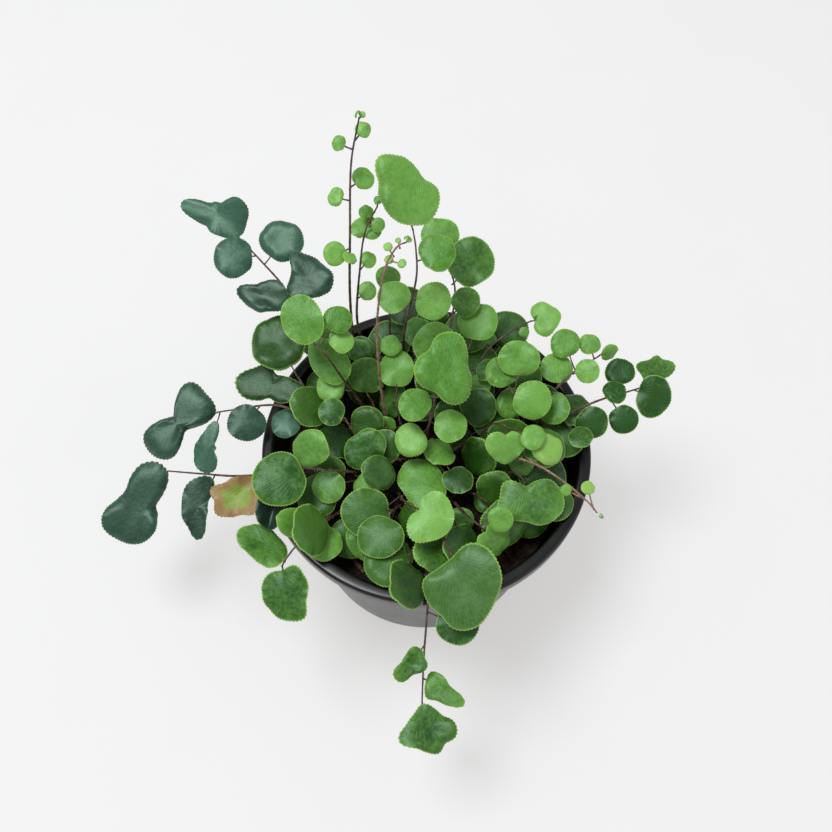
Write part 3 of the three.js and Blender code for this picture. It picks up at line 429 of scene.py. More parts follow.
def hang(points, leaflet, is_last):
    across, down, width = leaflet[:3]
    kind = leaflet[3] if len(leaflet) > 3 else "round"
    form = FORMS[kind]
    shares = [0.3 + i / 100 for i in range(68)]
    if is_last:
        shares = [1]
    if len(leaflet) > 4:
        shares = leaflet[4:]
    best = (math.inf,)
    for at in shares:
        foot = curve_point(points, at)
        reach = leaned(*(seen_in_plane(across, down, foot) - foot), -LEAN)
        length = np.linalg.norm(reach)
        stalk = length - base_depth(width / 2, form)
        forward = reach @ heading(points, at) / length
        misfit = stalk - STALK_LENGTH
        cost = max(misfit, -4 * misfit) + 3 * abs(forward - STALK_FORWARD)
        if cost < best[0]:
            best = (cost, at, math.atan2(reach[1], reach[0]), width, max(stalk, SHORTEST_STALK), kind)
    return best[1:]


def laid_out_frond(name, colour, rachis, leaflets):
    points = [seen_at_height(*place) for place in rachis]
    points[0][2] = ROOT_LEVEL
    frond = Frond(name, colour, points)
    frond.hung = [hang(points, leaflet, i == len(leaflets) - 1) for i, leaflet in enumerate(leaflets)]
    return frond


fronds = [laid_out_frond(*facts) for facts in FRONDS]
print("longest rachis:", round(max(frond.length for frond in fronds)), "mm")

# %% [markdown]
# ## The short fronds
#
# Under the fronds that show, short ones fill the bed: low ones all round it, and inner ones in its middle.
# Nobody needs to plan those one by one, so they follow a rule: each starts at the next bearing, and turns
# aside in steps until its rachis clears all the others. Every second low one is rooted further out. A pair
# of numbers below is the least value and the most that a draw adds to it.

# %% Short fronds by a rule
SHORT_FRONDS = [
    {"name": "low", "count": 17, "start": -50, "turn": 21, "step": 2, "steps": 15, "series": 5, "apart": 12,
     "root": (14, 5), "bend": 8, "knee": 76, "reach": (32, 4), "tip": (82, 6), "width": (15, 3),
     "leaflets": ((0.55, 60), (0.78, -60), (1, 0))},
    {"name": "inner", "count": 7, "start": 30, "turn": 137.5, "step": 3, "steps": 20, "series": 30, "apart": 0,
     "root": (3, 3), "bend": 5, "knee": 78, "reach": (12, 6), "tip": (80, 6), "width": (12, 3),
     "leaflets": ((0.62, -70), (1, 0))},
]
SHORT_FROND_STALK = 2
RACHIS_SPACING = 2.4


def short_frond(kind, i, aside):
    def drawn(pair, k):
        return pair[0] + pair[1] * draw(i, kind["series"] + k)

    further = kind["apart"] if i % 2 else 0
    reach = further + drawn(kind["reach"], 0)
    root = further + drawn(kind["root"], 1)
    bearing = math.radians(kind["start"] + kind["turn"] * i + aside)
    places = ((root, ROOT_LEVEL), (reach - kind["bend"], kind["knee"]), (reach, drawn(kind["tip"], 2)))
    points = [np.array([radius * math.cos(bearing), radius * math.sin(bearing), height])
              for radius, height in places]
    frond = Frond(f"{kind['name']}_{i + 1}", "dark", points)
    frond.hung = [(at, bearing + math.radians(side), drawn(kind["width"], 3 + k), SHORT_FROND_STALK, "round")
                  for k, (at, side) in enumerate(kind["leaflets"])]
    return frond


def is_apart(frond, other):
    return np.linalg.norm(frond.line[:, None] - other.line[None], axis=2).min() > RACHIS_SPACING


for kind in SHORT_FRONDS:
    for i in range(kind["count"]):
        for k in range(kind["steps"]):
            frond = short_frond(kind, i, k * kind["step"] * (-1 if k % 2 else 1))
            if all(is_apart(frond, other) for other in fronds):
                fronds.append(frond)
                break
print("fronds with the short ones:", len(fronds))

# %% [markdown]
# ## Growing without crossing
#
# Leaves in a real mound slide over and under each other and never pass through. So each leaflet tries a fan
# of poses, from unchanged to strongly tilted and a little smaller, and takes the first one that clears
# everything that grew before it: the rachises, the other leaflets, the rim and the soil. One that finds no
# pose stays out, as it does in the solid model.

# %% Keep a leaflet clear of what grew before
BLADE_CLEARANCE = 1.35
RACHIS_CLEARANCE = 1.5
STALK_CLEARANCE = 1.4
RIM_CLEARANCE = 1.2
SOIL_CLEARANCE = 3
FOOT_SHARE = 0.12
EDGE_MARGIN = 0.9
RIM_RADIUS = 60
LIP_WIDTH = 4.5
POT_HEIGHT = 78
SOIL_CROWN = 67


def crosses(leaf, places, gap, is_line):
    offset = places - leaf.centre
    u = offset @ leaf.along / (leaf.half * leaf.form["long"])
    v = offset @ leaf.across / leaf.half
    angle = np.arctan2(v, u)
    share = np.hypot(u, v) / outline(leaf.form, angle)
    over = share <= 1 + EDGE_MARGIN / leaf.half
    if not over.any():
        return False
    height = offset @ leaf.normal - leaf.half * surface(leaf, angle, np.minimum(share, 1))
    if (np.abs(height[over]) < gap).any():
        return True
    if is_line:
        both = over[1:] & over[:-1]
        return bool((both & (height[1:] * height[:-1] < 0)).any())
    return height[over].min() < 0 < height[over].max()


def meets_pot(leaf):
    radius = np.hypot(leaf.samples[:, 0], leaf.samples[:, 1])
    height = leaf.samples[:, 2]
    near = (radius <= RIM_RADIUS + 1) & (height <= POT_HEIGHT + RIM_CLEARANCE)
    on_rim = radius > RIM_RADIUS - LIP_WIDTH - RIM_CLEARANCE
    return bool((near & (on_rim | (height < SOIL_CROWN + SOIL_CLEARANCE))).any())


def is_clear(leaf, grown):
    if meets_pot(leaf):
        return False
    for frond in fronds:
        line = frond.line
        if frond is leaf.frond:
            line = line[np.abs(np.arange(len(line)) / (len(line) - 1) - leaf.at) > FOOT_SHARE]
        if crosses(leaf, line, RACHIS_CLEARANCE, True):
            return False
    for other in grown:
        apart = np.linalg.norm(leaf.centre - other.centre)
        if apart <= leaf.reach() + other.reach() + 2 * BLADE_CLEARANCE:
            if (crosses(leaf, other.samples, BLADE_CLEARANCE, False)
                    or crosses(other, leaf.samples, BLADE_CLEARANCE, False)):
                return False
        if other.frond is not leaf.frond:
            if (crosses(leaf, other.stalk, STALK_CLEARANCE, True)
                    or crosses(other, leaf.stalk, STALK_CLEARANCE, True)):
                return False
    return True

# %% Grow every leaflet
def pose_fan():
    fan = []
    for size in (1, 0.9, 0.8, 0.7):
        for pitch in (0, 10, -10, 20, -20, 32, -32, 45, -45):
            for roll in (0, 14, -14, 28, -28, 42, -42):
                fan.append((abs(pitch) + 0.8 * abs(roll) + 160 * (1 - size), pitch, roll, size))
    return sorted(fan, key=lambda pose: pose[0])


def grow():
    fan = pose_fan()
    grown = []
    number = 0
    for frond in fronds:
        for hung in frond.hung:
            number += 1
            pitch, roll = 16 * draw(number, 1) - 8, 26 * draw(number, 2) - 13
            for _, more_pitch, more_roll, size in fan:
                leaf = Leaf(frond, hung, number, pitch + more_pitch, roll + more_roll, size)
                if is_clear(leaf, grown):
                    grown.append(leaf)
                    frond.leaves.append(leaf)
                    break
    return grown


leaves = grow()
fronds = [frond for frond in fronds if frond.leaves]
print("fronds:", len(fronds), "leaflets:", len(leaves))

# %% [markdown]
# ## Gathering a mesh
#
# A frond is one piece, but it is made of many shells: a rachis, stalks, blades, hairs. Joining objects one
# by one is slow in Blender, so the points and faces of all shells go into one pile first, and the mesh is
# made once. Two triples ride along on each point, because the finishes need them later: where the point
# lies on its blade, and what kind of blade it is.

# %% A pile of shells
class Pile:
    def __init__(self):
        self.points, self.faces, self.finishes, self.place, self.kind = [], [], [], [], []
        self.count = 0

    def add(self, points, faces, finish=0, place=None, kind=None):
        blank = np.zeros((len(points), 3))
        self.points.append(points)
        self.place.append(blank if place is None else place)
        self.kind.append(blank if kind is None else kind)
        self.faces += [tuple(corner + self.count for corner in face) for face in faces]
        self.finishes += [finish] * len(faces)
        self.count += len(points)

    def build(self, name, finishes):
        mesh = bpy.data.meshes.new(name)
        mesh.from_pydata((np.concatenate(self.points) * MILLIMETRE).tolist(), [], self.faces)
        for title, rows in (("blade_place", self.place), ("blade_kind", self.kind)):
            values = mesh.attributes.new(title, "FLOAT_VECTOR", "POINT")
            values.data.foreach_set("vector", np.concatenate(rows).astype(np.float32).ravel())
        for finish in finishes:
            mesh.materials.append(finish)
        mesh.polygons.foreach_set("material_index", self.finishes)
        mesh.polygons.foreach_set("use_smooth", [True] * len(self.faces))
        mesh.update()
        piece = bpy.data.objects.new(name, mesh)
        bpy.context.scene.collection.objects.link(piece)
        return piece

# %% [markdown]
# ## Stems
#
# A rachis is a hard, wiry stem. It is thickest at the root and thins towards the tip, and a short stalk
# leaves it at each leaflet. A tube is swept along the curve. Its rings must not twist, so each ring takes
# over the direction of the one before and only leans with the curve.

# %% A tube along a line
STRAY_WAY = [0.31, 0.87, 0.38]


def bands(rings, spokes, first=0):
    """The four-sided faces between rings of points that follow each other."""
    return [(a + k, a + after, a + spokes + after, a + spokes + k)
            for a in range(first, first + (rings - 1) * spokes, spokes)
            for k, after in ((k, (k + 1) % spokes) for k in range(spokes))]


def tube(line, radii, sides=8):
    """Points and faces of a closed tube."""
    steps = np.gradient(line, axis=0)
    ways = steps / np.linalg.norm(steps, axis=1)[:, None]
    side = np.cross(ways[0], STRAY_WAY)
    turns = np.arange(sides) * 2 * math.pi / sides
    points = []
    for place, way, radius in zip(line, ways, radii):
        side = side - way * (side @ way)
        side /= np.linalg.norm(side)
        other = np.cross(way, side)
        points.append(place + radius * (np.outer(np.cos(turns), side) + np.outer(np.sin(turns), other)))
    last = (len(line) - 1) * sides
    faces = [tuple(reversed(range(sides))), *bands(len(line), sides), tuple(range(last, last + sides))]
    return np.concatenate(points), faces

# %% [markdown]
# ## Hairs
#
# Young stems of this fern are covered with short pale hairs, and old ones keep a few. Hair systems don't
# survive in a model that is handed on, so each hair is a real spike: four faces, half a millimetre to a
# millimetre long, seated in the stem.

# %% Hairs on a stem
HAIR_RADIUS = 0.06
HAIR_SPREAD = 0.96
HAIR_SEAT = 0.7
HAIR_CORNERS = (0, 2.1, 4.2)


def hairs(line, radii, number, length, count):
    """Spikes that stand out of a stem, count of them."""
    points, faces = [], []
    for k in range(count):
        place = (1 - HAIR_SPREAD) / 2 + HAIR_SPREAD * draw(number + k, 21)
        i = min(int(place * (len(line) - 1)), len(line) - 2)
        way = line[i + 1] - line[i]
        foot = line[i] + way * (place * (len(line) - 1) - i)
        way = way / np.linalg.norm(way)
        side = np.cross(way, STRAY_WAY)
        side /= np.linalg.norm(side)
        turn = 2 * math.pi * draw(number + k, 22)
        out = math.cos(turn) * side + math.sin(turn) * np.cross(way, side)
        slant = out + way * (0.9 * draw(number + k, 23) - 0.2)
        tip = foot + out * radii[i] + slant * length * (0.5 + 0.8 * draw(number + k, 24))
        root = foot + out * radii[i] * HAIR_SEAT
        round_it = np.cross(way, out)
        base = [root + HAIR_RADIUS * (math.cos(a) * way + math.sin(a) * round_it) for a in HAIR_CORNERS]
        start = len(points)
        points += [*base, tip]
        faces += [(start, start + 1, start + 3), (start + 1, start + 2, start + 3),
                  (start + 2, start, start + 3), (start + 2, start + 1, start)]
    return np.array(points), faces

# %% [markdown]
# ## The blade
#
# The edge of a leaflet has fine rounded teeth, about one for each millimetre, and no two leaflets have
# quite the same outline. The blade is a round grid: spokes from the middle to the edge and rings across
# them, close together near the edge, where it bends. Three spokes make one tooth. There is an upper layer
# and a lower one, joined round the rim, so that the leaflet has a real thickness and a back. Each blade
# swells a little in its own way and is crimped along the edge, because a flat one looks stamped. A fold is
# rounded off at its bottom.
#
# A shade says which fronds are a deeper green, because they are old, and which are fresher.

# %% Shape one blade
BLADE_THICKNESS = 0.45
TOOTH_PITCH = 1.05
TOOTH_DEPTH = 0.16
TOOTH_SHAPE = np.array([-1.1, 0.75, 0.35])
FULL_TOOTH_HALF = 8.5
LEAST_TEETH, MOST_TEETH = 8, 66
RIM_THINNING = 0.55
LEAST_BULGE, BULGE_RANGE = -0.07, 0.4
CRIMP = 0.12
CRIMP_PITCH = 3.2
CREASE = 0.03
SHADES = {"far_right": -0.5, "trailing": -0.5, "left_dark": -0.6, "front_dull": -0.5, "left_back": -0.3,
          "lower_left": -0.15, "crenate": -0.25, "front_big": -0.2, "tall_left": 0.3, "centre": 0.15}
UPPER_RINGS = np.array([0.14, 0.3, 0.46, 0.6, 0.72, 0.82, 0.9, 0.955, 0.985, 1])
LOWER_RINGS = np.array([0.3, 0.6, 0.82, 0.955, 1])


def blade(leaf, shade=0):
    """Points, faces and the two triples of a fine leaflet. A negative shade makes it deeper green."""
    around = math.pi * leaf.half * (1 + leaf.form["long"])
    spokes = 3 * int(np.clip(round(around / TOOTH_PITCH), LEAST_TEETH, MOST_TEETH))
    angles = math.pi - np.arange(spokes) * 2 * math.pi / spokes
    depth = TOOTH_DEPTH * min(1, leaf.half / FULL_TOOTH_HALF) ** 1.3
    tooth = np.tile(TOOTH_SHAPE, spokes // 3) * depth / leaf.half
    own = [2 * math.pi * draw(leaf.number, k) for k in (31, 32, 33)]
    uneven = (0.022 * np.sin(2 * angles + own[0]) + 0.016 * np.sin(3 * angles + own[1])
              + 0.01 * np.sin(5 * angles + own[2]))
    tint = draw(leaf.number, 34) + shade
    age = 1.0 if leaf.kind == "withered" else 0.35 * draw(leaf.number, 35) ** 3
    bulge = LEAST_BULGE + BULGE_RANGE * draw(leaf.number, 36)

    def ring(share, side):
        edge = np.clip((share - 0.8) / 0.2, 0, 1) ** 2
        reach = leaf.half * outline(leaf.form, angles) * share * (1 + uneven * share + tooth * edge)
        thick = BLADE_THICKNESS / 2 * (1 - RIM_THINNING * share**8)
        ripple = 0.05 * np.sin(5 * angles + own[1]) * share**4 + 0.02 * np.sin(9 * angles + own[2]) * share**5
        dome = bulge * share**2 * (1 - share**3) * (1 + 0.5 * np.cos(angles + own[0]))
        crimps = CRIMP * np.sin(around / CRIMP_PITCH * angles + own[1]) * share**7
        slope = np.abs(np.sin(angles)) * share
        soft_fold = leaf.form["fold"] * (np.sqrt(slope**2 + CREASE) - slope)
        lift = leaf.half * (surface(leaf, angles, share) + soft_fold + ripple + dome) + crimps + side * thick
        along = reach * leaf.form["long"] * np.cos(angles)
        across = reach * np.sin(angles)
        points = (leaf.centre + np.outer(along, leaf.along) + np.outer(across, leaf.across)
                  + np.outer(lift, leaf.normal))
        place = np.stack([along + base_depth(leaf.half, leaf.form), across, np.full(spokes, share)], axis=1)
        return points, place

    points, places, sides, faces = [], [], [], []
    starts = {}
    for side, shares in ((1, UPPER_RINGS), (-1, LOWER_RINGS)):
        hub = leaf.half * (surface(leaf, math.pi, 0) + leaf.form["fold"] * math.sqrt(CREASE))
        middle = leaf.centre + leaf.normal * (hub + side * BLADE_THICKNESS / 2)
        first = len(points)
        points.append(middle)
        places.append([base_depth(leaf.half, leaf.form), 0, 0])
        for share in shares:
            ring_points, ring_places = ring(share, side)
            points += list(ring_points)
            places += list(ring_places)
        sides += [side] * (len(points) - first)
        starts[side] = first
        for k in range(spokes):
            after = (k + 1) % spokes
            wedge = [first, first + 1 + k, first + 1 + after]
            faces.append(tuple(reversed(wedge)) if side > 0 else tuple(wedge))
        rows = bands(len(shares), spokes, first + 1)
        faces += [tuple(reversed(face)) for face in rows] if side < 0 else rows
    upper_rim = starts[1] + 1 + (len(UPPER_RINGS) - 1) * spokes
    lower_rim = starts[-1] + 1 + (len(LOWER_RINGS) - 1) * spokes
    for k in range(spokes):
        after = (k + 1) % spokes
        faces.append((upper_rim + k, upper_rim + after, lower_rim + after, lower_rim + k))
    kinds = np.stack([np.full(len(points), tint), np.maximum(sides, 0), np.full(len(points), age)], axis=1)
    return np.array(points), faces, np.array(places), kinds


test_points, test_faces, _, _ = blade(leaves[0])
print("one blade:", len(test_points), "points,", len(test_faces), "faces")

# %% [markdown]
# ## Working with finishes
#
# A finish in Blender is a small network: textures and arithmetic feed the colour, the roughness and the
# bump of one shader. Three short helpers keep the recipes below readable. Anything that is the same all
# over a piece is set straight on the shader, so that it survives when the model is handed on.

# %% Helpers for a finish
def new_finish(name, **values):
    material = bpy.data.materials.new(name)
    material.use_nodes = True
    tree = material.node_tree
    shader = tree.nodes["Principled BSDF"]
    for title, value in values.items():
        shader.inputs[title.replace("_", " ")].default_value = value
    return material, tree, shader


def feed(tree, socket, value):
    if isinstance(value, bpy.types.NodeSocket):
        tree.links.new(value, socket)
    elif isinstance(value, tuple) and len(value) == 3 and socket.type == "RGBA":
        socket.default_value = (*value, 1)
    else:
        socket.default_value = value


def maths(tree, operation, *values, clamp=False):
    node = tree.nodes.new("ShaderNodeMath")
    node.operation, node.use_clamp = operation, clamp
    for socket, value in zip(node.inputs, values):
        feed(tree, socket, value)
    return node.outputs[0]


def ramp(tree, value, low, high, start=0.0, end=1.0):
    """Turns value from low..high into start..end with soft ends."""
    node = tree.nodes.new("ShaderNodeMapRange")
    node.interpolation_type = "SMOOTHSTEP"
    titles = ("Value", "From Min", "From Max", "To Min", "To Max")
    for title, given in zip(titles, (value, low, high, start, end)):
        feed(tree, node.inputs[title], given)
    return node.outputs["Result"]


def blend(tree, share, first, second):
    node = tree.nodes.new("ShaderNodeMix")
    node.data_type = "RGBA"
    feed(tree, node.inputs["Factor"], share)
    feed(tree, node.inputs["A"], first)
    feed(tree, node.inputs["B"], second)
    return node.outputs["Result"]


def grain(tree, size, detail=3.0, roughness=0.5, stretch=None):
    """Soft noise between 0 and 1 whose lumps are about size millimetres."""
    place = tree.nodes.new("ShaderNodeTexCoord").outputs["Object"]
    if stretch:
        node = tree.nodes.new("ShaderNodeMapping")
        feed(tree, node.inputs["Vector"], place)
        node.inputs["Scale"].default_value = stretch
        place = node.outputs["Vector"]
    node = tree.nodes.new("ShaderNodeTexNoise")
    feed(tree, node.inputs["Vector"], place)
    node.inputs["Scale"].default_value = 1 / (size * MILLIMETRE)
    node.inputs["Detail"].default_value = detail
    node.inputs["Roughness"].default_value = roughness
    return node.outputs["Fac"]


def bump(tree, shader, height, depth, strength=1.0):
    """Raises the surface by up to depth millimetres where height is 1."""
    node = tree.nodes.new("ShaderNodeBump")
    feed(tree, node.inputs["Height"], height)
    node.inputs["Distance"].default_value = depth * MILLIMETRE
    node.inputs["Strength"].default_value = strength
    tree.links.new(node.outputs["Normal"], shader.inputs["Normal"])

# %% [markdown]
# ## The leaf finish
#
# A leaflet is leathery and waxy. Its veins run out from the stalk and fork again and again without meeting,
# so that they stay about equally far apart. The edge is a thin yellow-green line, dull on an old frond, the
# back is pale, and an old leaflet turns brown from the edge. A painted picture would show all that too, but
# a recipe gives every leaflet its own veins at their true size.
#
# The forks come from a little arithmetic. Around the stalk, the angle is cut into equal slices with a vein
# in the middle of each. Each time the distance doubles, so does the number of slices, and just past that
# distance the vein of a slice glides apart into the two veins of its halves.

# %% Forking veins
VEIN_SLICE = 0.5
VEIN_START = 2.2
VEIN_WIDTH = 0.08


def veins(tree, along, across):
    """1 on a vein and 0 between veins."""
    wander = maths(tree, "MULTIPLY", maths(tree, "SUBTRACT", grain(tree, 5, 1.0), 0.5), 0.5)
    angle = maths(tree, "ADD", maths(tree, "ARCTAN2", across, along), maths(tree, "MULTIPLY", wander, 0.2))
    far = maths(tree, "SQRT", maths(tree, "ADD", maths(tree, "POWER", along, 2.0),
                                    maths(tree, "POWER", across, 2.0)))
    past_start = maths(tree, "MAXIMUM", maths(tree, "DIVIDE", far, VEIN_START), 1.0)
    doublings = maths(tree, "LOGARITHM", past_start, 2.0)
    doublings = maths(tree, "ADD", doublings, maths(tree, "ABSOLUTE", wander))
    level = maths(tree, "FLOOR", doublings)
    gliding = ramp(tree, maths(tree, "SUBTRACT", doublings, level), 0.0, 0.55)
    slice_width = maths(tree, "DIVIDE", VEIN_SLICE, maths(tree, "POWER", 2.0, level))
    in_slice = maths(tree, "FRACT", maths(tree, "DIVIDE", angle, slice_width))
    across_slice = maths(tree, "SUBTRACT", in_slice, 0.5)
    off = maths(tree, "ABSOLUTE", maths(
        tree, "SUBTRACT", maths(tree, "ABSOLUTE", across_slice), maths(tree, "MULTIPLY", gliding, 0.25)))
    apart = maths(tree, "MULTIPLY", maths(tree, "MULTIPLY", off, slice_width), far)
    return ramp(tree, apart, VEIN_WIDTH, 3.5 * VEIN_WIDTH, 1.0, 0.0)

# %% The leaf finish
RIM_COLOUR = (0.27, 0.46, 0.08)
RIM_OLD = (0.075, 0.13, 0.06)
SHEEN = (0.62, 1, 0.72, 1)
BROWN = (0.23, 0.10, 0.035)
RIM_BAND = (0.945, 0.99)
PEBBLE_RELIEF = 1.3
LEAF_RELIEF = 0.16


def leaf_finish(name, deep, fresh, wax, back, rim=RIM_COLOUR, dead=BROWN, ribs=0.18):
    """A leaf between two greens, with a waxy coat, a back, a rim, a dead edge and veins as strong as ribs."""
    material, tree, shader = new_finish(
        name, IOR=1.45, Specular_IOR_Level=0.5, Specular_Tint=SHEEN, Coat_Weight=wax, Coat_Roughness=0.4)
    parts = []
    for title in ("blade_place", "blade_kind"):
        attribute = tree.nodes.new("ShaderNodeAttribute")
        attribute.attribute_name = title
        split = tree.nodes.new("ShaderNodeSeparateXYZ")
        tree.links.new(attribute.outputs["Vector"], split.inputs[0])
        parts += list(split.outputs)
    along, across, share, tint, upper, age = parts
    vein = veins(tree, along, across)
    mottle = grain(tree, 5, 4.0, 0.55)
    pebbles = grain(tree, 1.3, 3.0, 0.6)
    lively = maths(tree, "ADD", maths(tree, "MULTIPLY", maths(tree, "SUBTRACT", mottle, 0.5), 0.9),
                   maths(tree, "MULTIPLY", maths(tree, "SUBTRACT", pebbles, 0.5), 0.9))
    edge = maths(tree, "MULTIPLY", maths(tree, "POWER", share, 4.0), 0.25)
    lively = maths(tree, "ADD", lively, edge)
    colour = blend(tree, maths(tree, "ADD", tint, lively, clamp=True), deep, fresh)
    pale = tuple(1.5 * value for value in fresh)
    colour = blend(tree, maths(tree, "MULTIPLY", vein, 0.15 * ribs), colour, pale)
    colour = blend(tree, maths(tree, "MULTIPLY", maths(tree, "SUBTRACT", 1.0, upper), 0.75), colour, back)
    colour = blend(tree, ramp(tree, share, *RIM_BAND, 0.0, 0.85), colour, rim)
    dying = maths(tree, "MULTIPLY", age, maths(tree, "ADD", maths(tree, "POWER", share, 2.0),
                                               maths(tree, "MULTIPLY", mottle, 0.9)))
    colour = blend(tree, ramp(tree, dying, 0.62, 0.95), colour, dead)
    tree.links.new(colour, shader.inputs["Base Color"])
    roughness = maths(tree, "ADD", 0.3, maths(tree, "MULTIPLY", pebbles, 0.25))
    tree.links.new(roughness, shader.inputs["Roughness"])
    between = maths(tree, "MULTIPLY", maths(tree, "SUBTRACT", 1.0, vein), ribs)
    relief = maths(tree, "ADD", maths(tree, "MULTIPLY", pebbles, PEBBLE_RELIEF), between)
    bump(tree, shader, relief, LEAF_RELIEF, 0.9)
    return material


LEAF_FINISHES = {
    "bright": leaf_finish(
        "leaf_bright", (0.05, 0.17, 0.008), (0.18, 0.39, 0.07), 0.16, (0.2, 0.36, 0.12)),
    "mid": leaf_finish("leaf_mid", (0.01, 0.055, 0.002), (0.135, 0.325, 0.045), 0.22, (0.15, 0.28, 0.1)),
    "dark": leaf_finish("leaf_dark", (0.006, 0.03, 0.002), (0.05, 0.14, 0.013), 0.2, (0.12, 0.24, 0.08)),
    # The teal greens are partly the old fronds' own dark blue-green and partly painted shade and painted cool
    # light on the low fronds at the left.
    "teal": leaf_finish(
        "leaf_teal", (0.002, 0.012, 0.006), (0.034, 0.1, 0.06), 0.3, (0.16, 0.26, 0.15), RIM_OLD, ribs=0.05),
    "young": leaf_finish("leaf_young", (0.15, 0.33, 0.05), (0.26, 0.46, 0.1), 0.05, (0.3, 0.45, 0.16)),
}
OLD_LEAF = leaf_finish(
    "leaf_old", (0.13, 0.2, 0.03), (0.24, 0.3, 0.05), 0.05, (0.2, 0.22, 0.09), BROWN, (0.3, 0.17, 0.07))
RIBBED_LEAF = leaf_finish(
    "leaf_ribbed", (0.03, 0.1, 0.008), (0.11, 0.24, 0.05), 0.35, (0.15, 0.28, 0.1), ribs=0.8)
print("leaf finishes:", ", ".join(LEAF_FINISHES), "an old one and a ribbed one")

# %% [markdown]
# ## The stem finish
#
# An old rachis is almost black and a little glossy, like polished wire. A young one is still reddish tan.
# The hairs are pale straw. Streaks that run the length of the stem would need a direction at each point,
# and a stem this thin doesn't show them, so soft blotches of colour are enough.

# %% Stem and hair finishes
def stem_finish(name, dark, light):
    material, tree, shader = new_finish(name, IOR=1.5, Specular_IOR_Level=0.5)
    blotches = grain(tree, 2.5, 3.0, 0.6)
    tree.links.new(blend(tree, ramp(tree, blotches, 0.3, 0.7), dark, light), shader.inputs["Base Color"])
    tree.links.new(ramp(tree, grain(tree, 0.7), 0.2, 0.8, 0.32, 0.55), shader.inputs["Roughness"])
    bump(tree, shader, grain(tree, 0.35, 2.0), 0.08, 0.7)
    return material


STEM_DARK = stem_finish("stem_dark", (0.03, 0.014, 0.01), (0.12, 0.062, 0.044))
STEM_YOUNG = stem_finish("stem_young", (0.14, 0.075, 0.045), (0.32, 0.2, 0.12))
HAIR_PALE = stem_finish("hair_pale", (0.35, 0.27, 0.16), (0.55, 0.47, 0.32))

# %% [markdown]
# ## The fronds
#
# Each frond now becomes one piece, and the solid frond it stands for is hidden. The tip of a growing frond
# is still rolled up, so the young ones end in a small green curl.

# %% Build the fronds
RING_STEP = 1.6
ROOT_RADIUS = 0.6
MIDDLE_RADIUS = 0.44
TIP_RADIUS = 0.28
STALK_RADIUS = 0.26
STALK_SAG = 0.35
STALK_FLARE = 0.35
KNOTS = 0.06
STEM_SIDES = 6
BRISTLE_YOUNG, BRISTLE_OLD = 3.2, 1.1
HAIR_YOUNG, HAIR_OLD = 0.95, 0.6
SHOOTS = ("tall_left", "tall_middle", "young", "bare_right", "back_spray")
CURL_RADIUS = 1.5
CURL_SWING = 4.2
CURL_THICKNESS = (0.42, 0.26)


def curled_tip(frond):
    """The rolled-up tip of a growing frond, as a line and its radii."""
    way = heading(frond.points, 1)
    up = np.cross(np.cross(way, [0, 0, 1]), way)
    up /= np.linalg.norm(up)
    turns = np.linspace(0, 1, 26)
    swing = CURL_SWING * turns
    curl = CURL_RADIUS * (1 - 0.75 * turns)
    middle = frond.points[-1] + way * 1.2 + up * CURL_RADIUS
    line = middle + curl[:, None] * (np.outer(np.sin(swing), way) - np.outer(np.cos(swing), up))
    return line, np.interp(turns, [0, 1], CURL_THICKNESS)


plan_names = [name for name, *_ in FRONDS]
LEAF_SLOTS = {"withered": 3, "fan": 4}
for order, frond in enumerate(fronds):
    is_young = frond.colour == "young"
    pile = Pile()
    line = even_line(frond.points, max(6, int(frond.length / RING_STEP)))
    radii = np.interp(np.linspace(0, 1, len(line)), [0, 0.6, 1], [ROOT_RADIUS, MIDDLE_RADIUS, TIP_RADIUS])
    radii = radii * (1 + KNOTS * np.sin(np.arange(len(line)) * 2.1 + order))
    pile.add(*tube(line, radii), 1)
    bristle, hair = (BRISTLE_YOUNG, HAIR_YOUNG) if is_young else (BRISTLE_OLD, HAIR_OLD)
    if frond.name in plan_names:
        pile.add(*hairs(line, radii, 97 * order, hair, int(frond.length * bristle)), 2)
    for leaf in frond.leaves:
        points, faces, place, kind = blade(leaf, SHADES.get(frond.name, 0))
        pile.add(points, faces, LEAF_SLOTS.get(leaf.kind, 0), place, kind)
        start, end = leaf.stalk[0], leaf.stalk[-1]
        bend = np.linspace(0, 1, 8)
        sag = -STALK_SAG * np.sin(math.pi * bend)
        stalk = start + (end - start) * bend[:, None] + leaf.normal * sag[:, None]
        stalk_radii = STALK_RADIUS * (1 + STALK_FLARE * (1 - bend) ** 4)
        pile.add(*tube(stalk, stalk_radii, STEM_SIDES), 1)
    if frond.name in SHOOTS:
        tip_line, tip_radii = curled_tip(frond)
        kind = np.tile([0.9, 1, 0], (len(tip_line) * STEM_SIDES, 1))
        pile.add(*tube(tip_line, tip_radii, STEM_SIDES), 0, None, kind)
    piece = pile.build("leafy_" + frond.name, [
        LEAF_FINISHES[frond.colour], STEM_YOUNG if is_young else STEM_DARK, HAIR_PALE, OLD_LEAF, RIBBED_LEAF])
    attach(piece, "root")
    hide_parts("frond_" + frond.name)

# %% [markdown]
# ## The pot
#
# A nursery pot is blown or moulded in one thin piece of black polypropylene: a tapered wall, a flat lip
# turned over at the top, and holes in the base. Its outline is turned round the axis like clay on a wheel.
# The edges get several points each, because a hard edge catches no light, and the lip's edge is where the
# pot shows most.

# %% Turn the pot
BASE_RADIUS = 45.5
POT_WALL = 1.6
LIP_DROP = 7
DRAIN_RADIUS = 4
DRAIN_RING = 30
DRAIN_COUNT = 6
DRILL_REACH = (-3, 5)
POT_SPOKES = 192
FOOT_EDGE, LIP_EDGE, UNDER_LIP_EDGE, INNER_LIP_EDGE, FLOOR_EDGE = 1.6, 1.6, 0.7, 1.2, 1.0
LIP_TAPER = 0.5
AXIS_GAP = 0.001


def wall_radius(height):
    under_lip = RIM_RADIUS - LIP_WIDTH + POT_WALL
    return BASE_RADIUS + (under_lip - BASE_RADIUS) * height / POT_HEIGHT


def inside_radius(height):
    return wall_radius(height) - POT_WALL


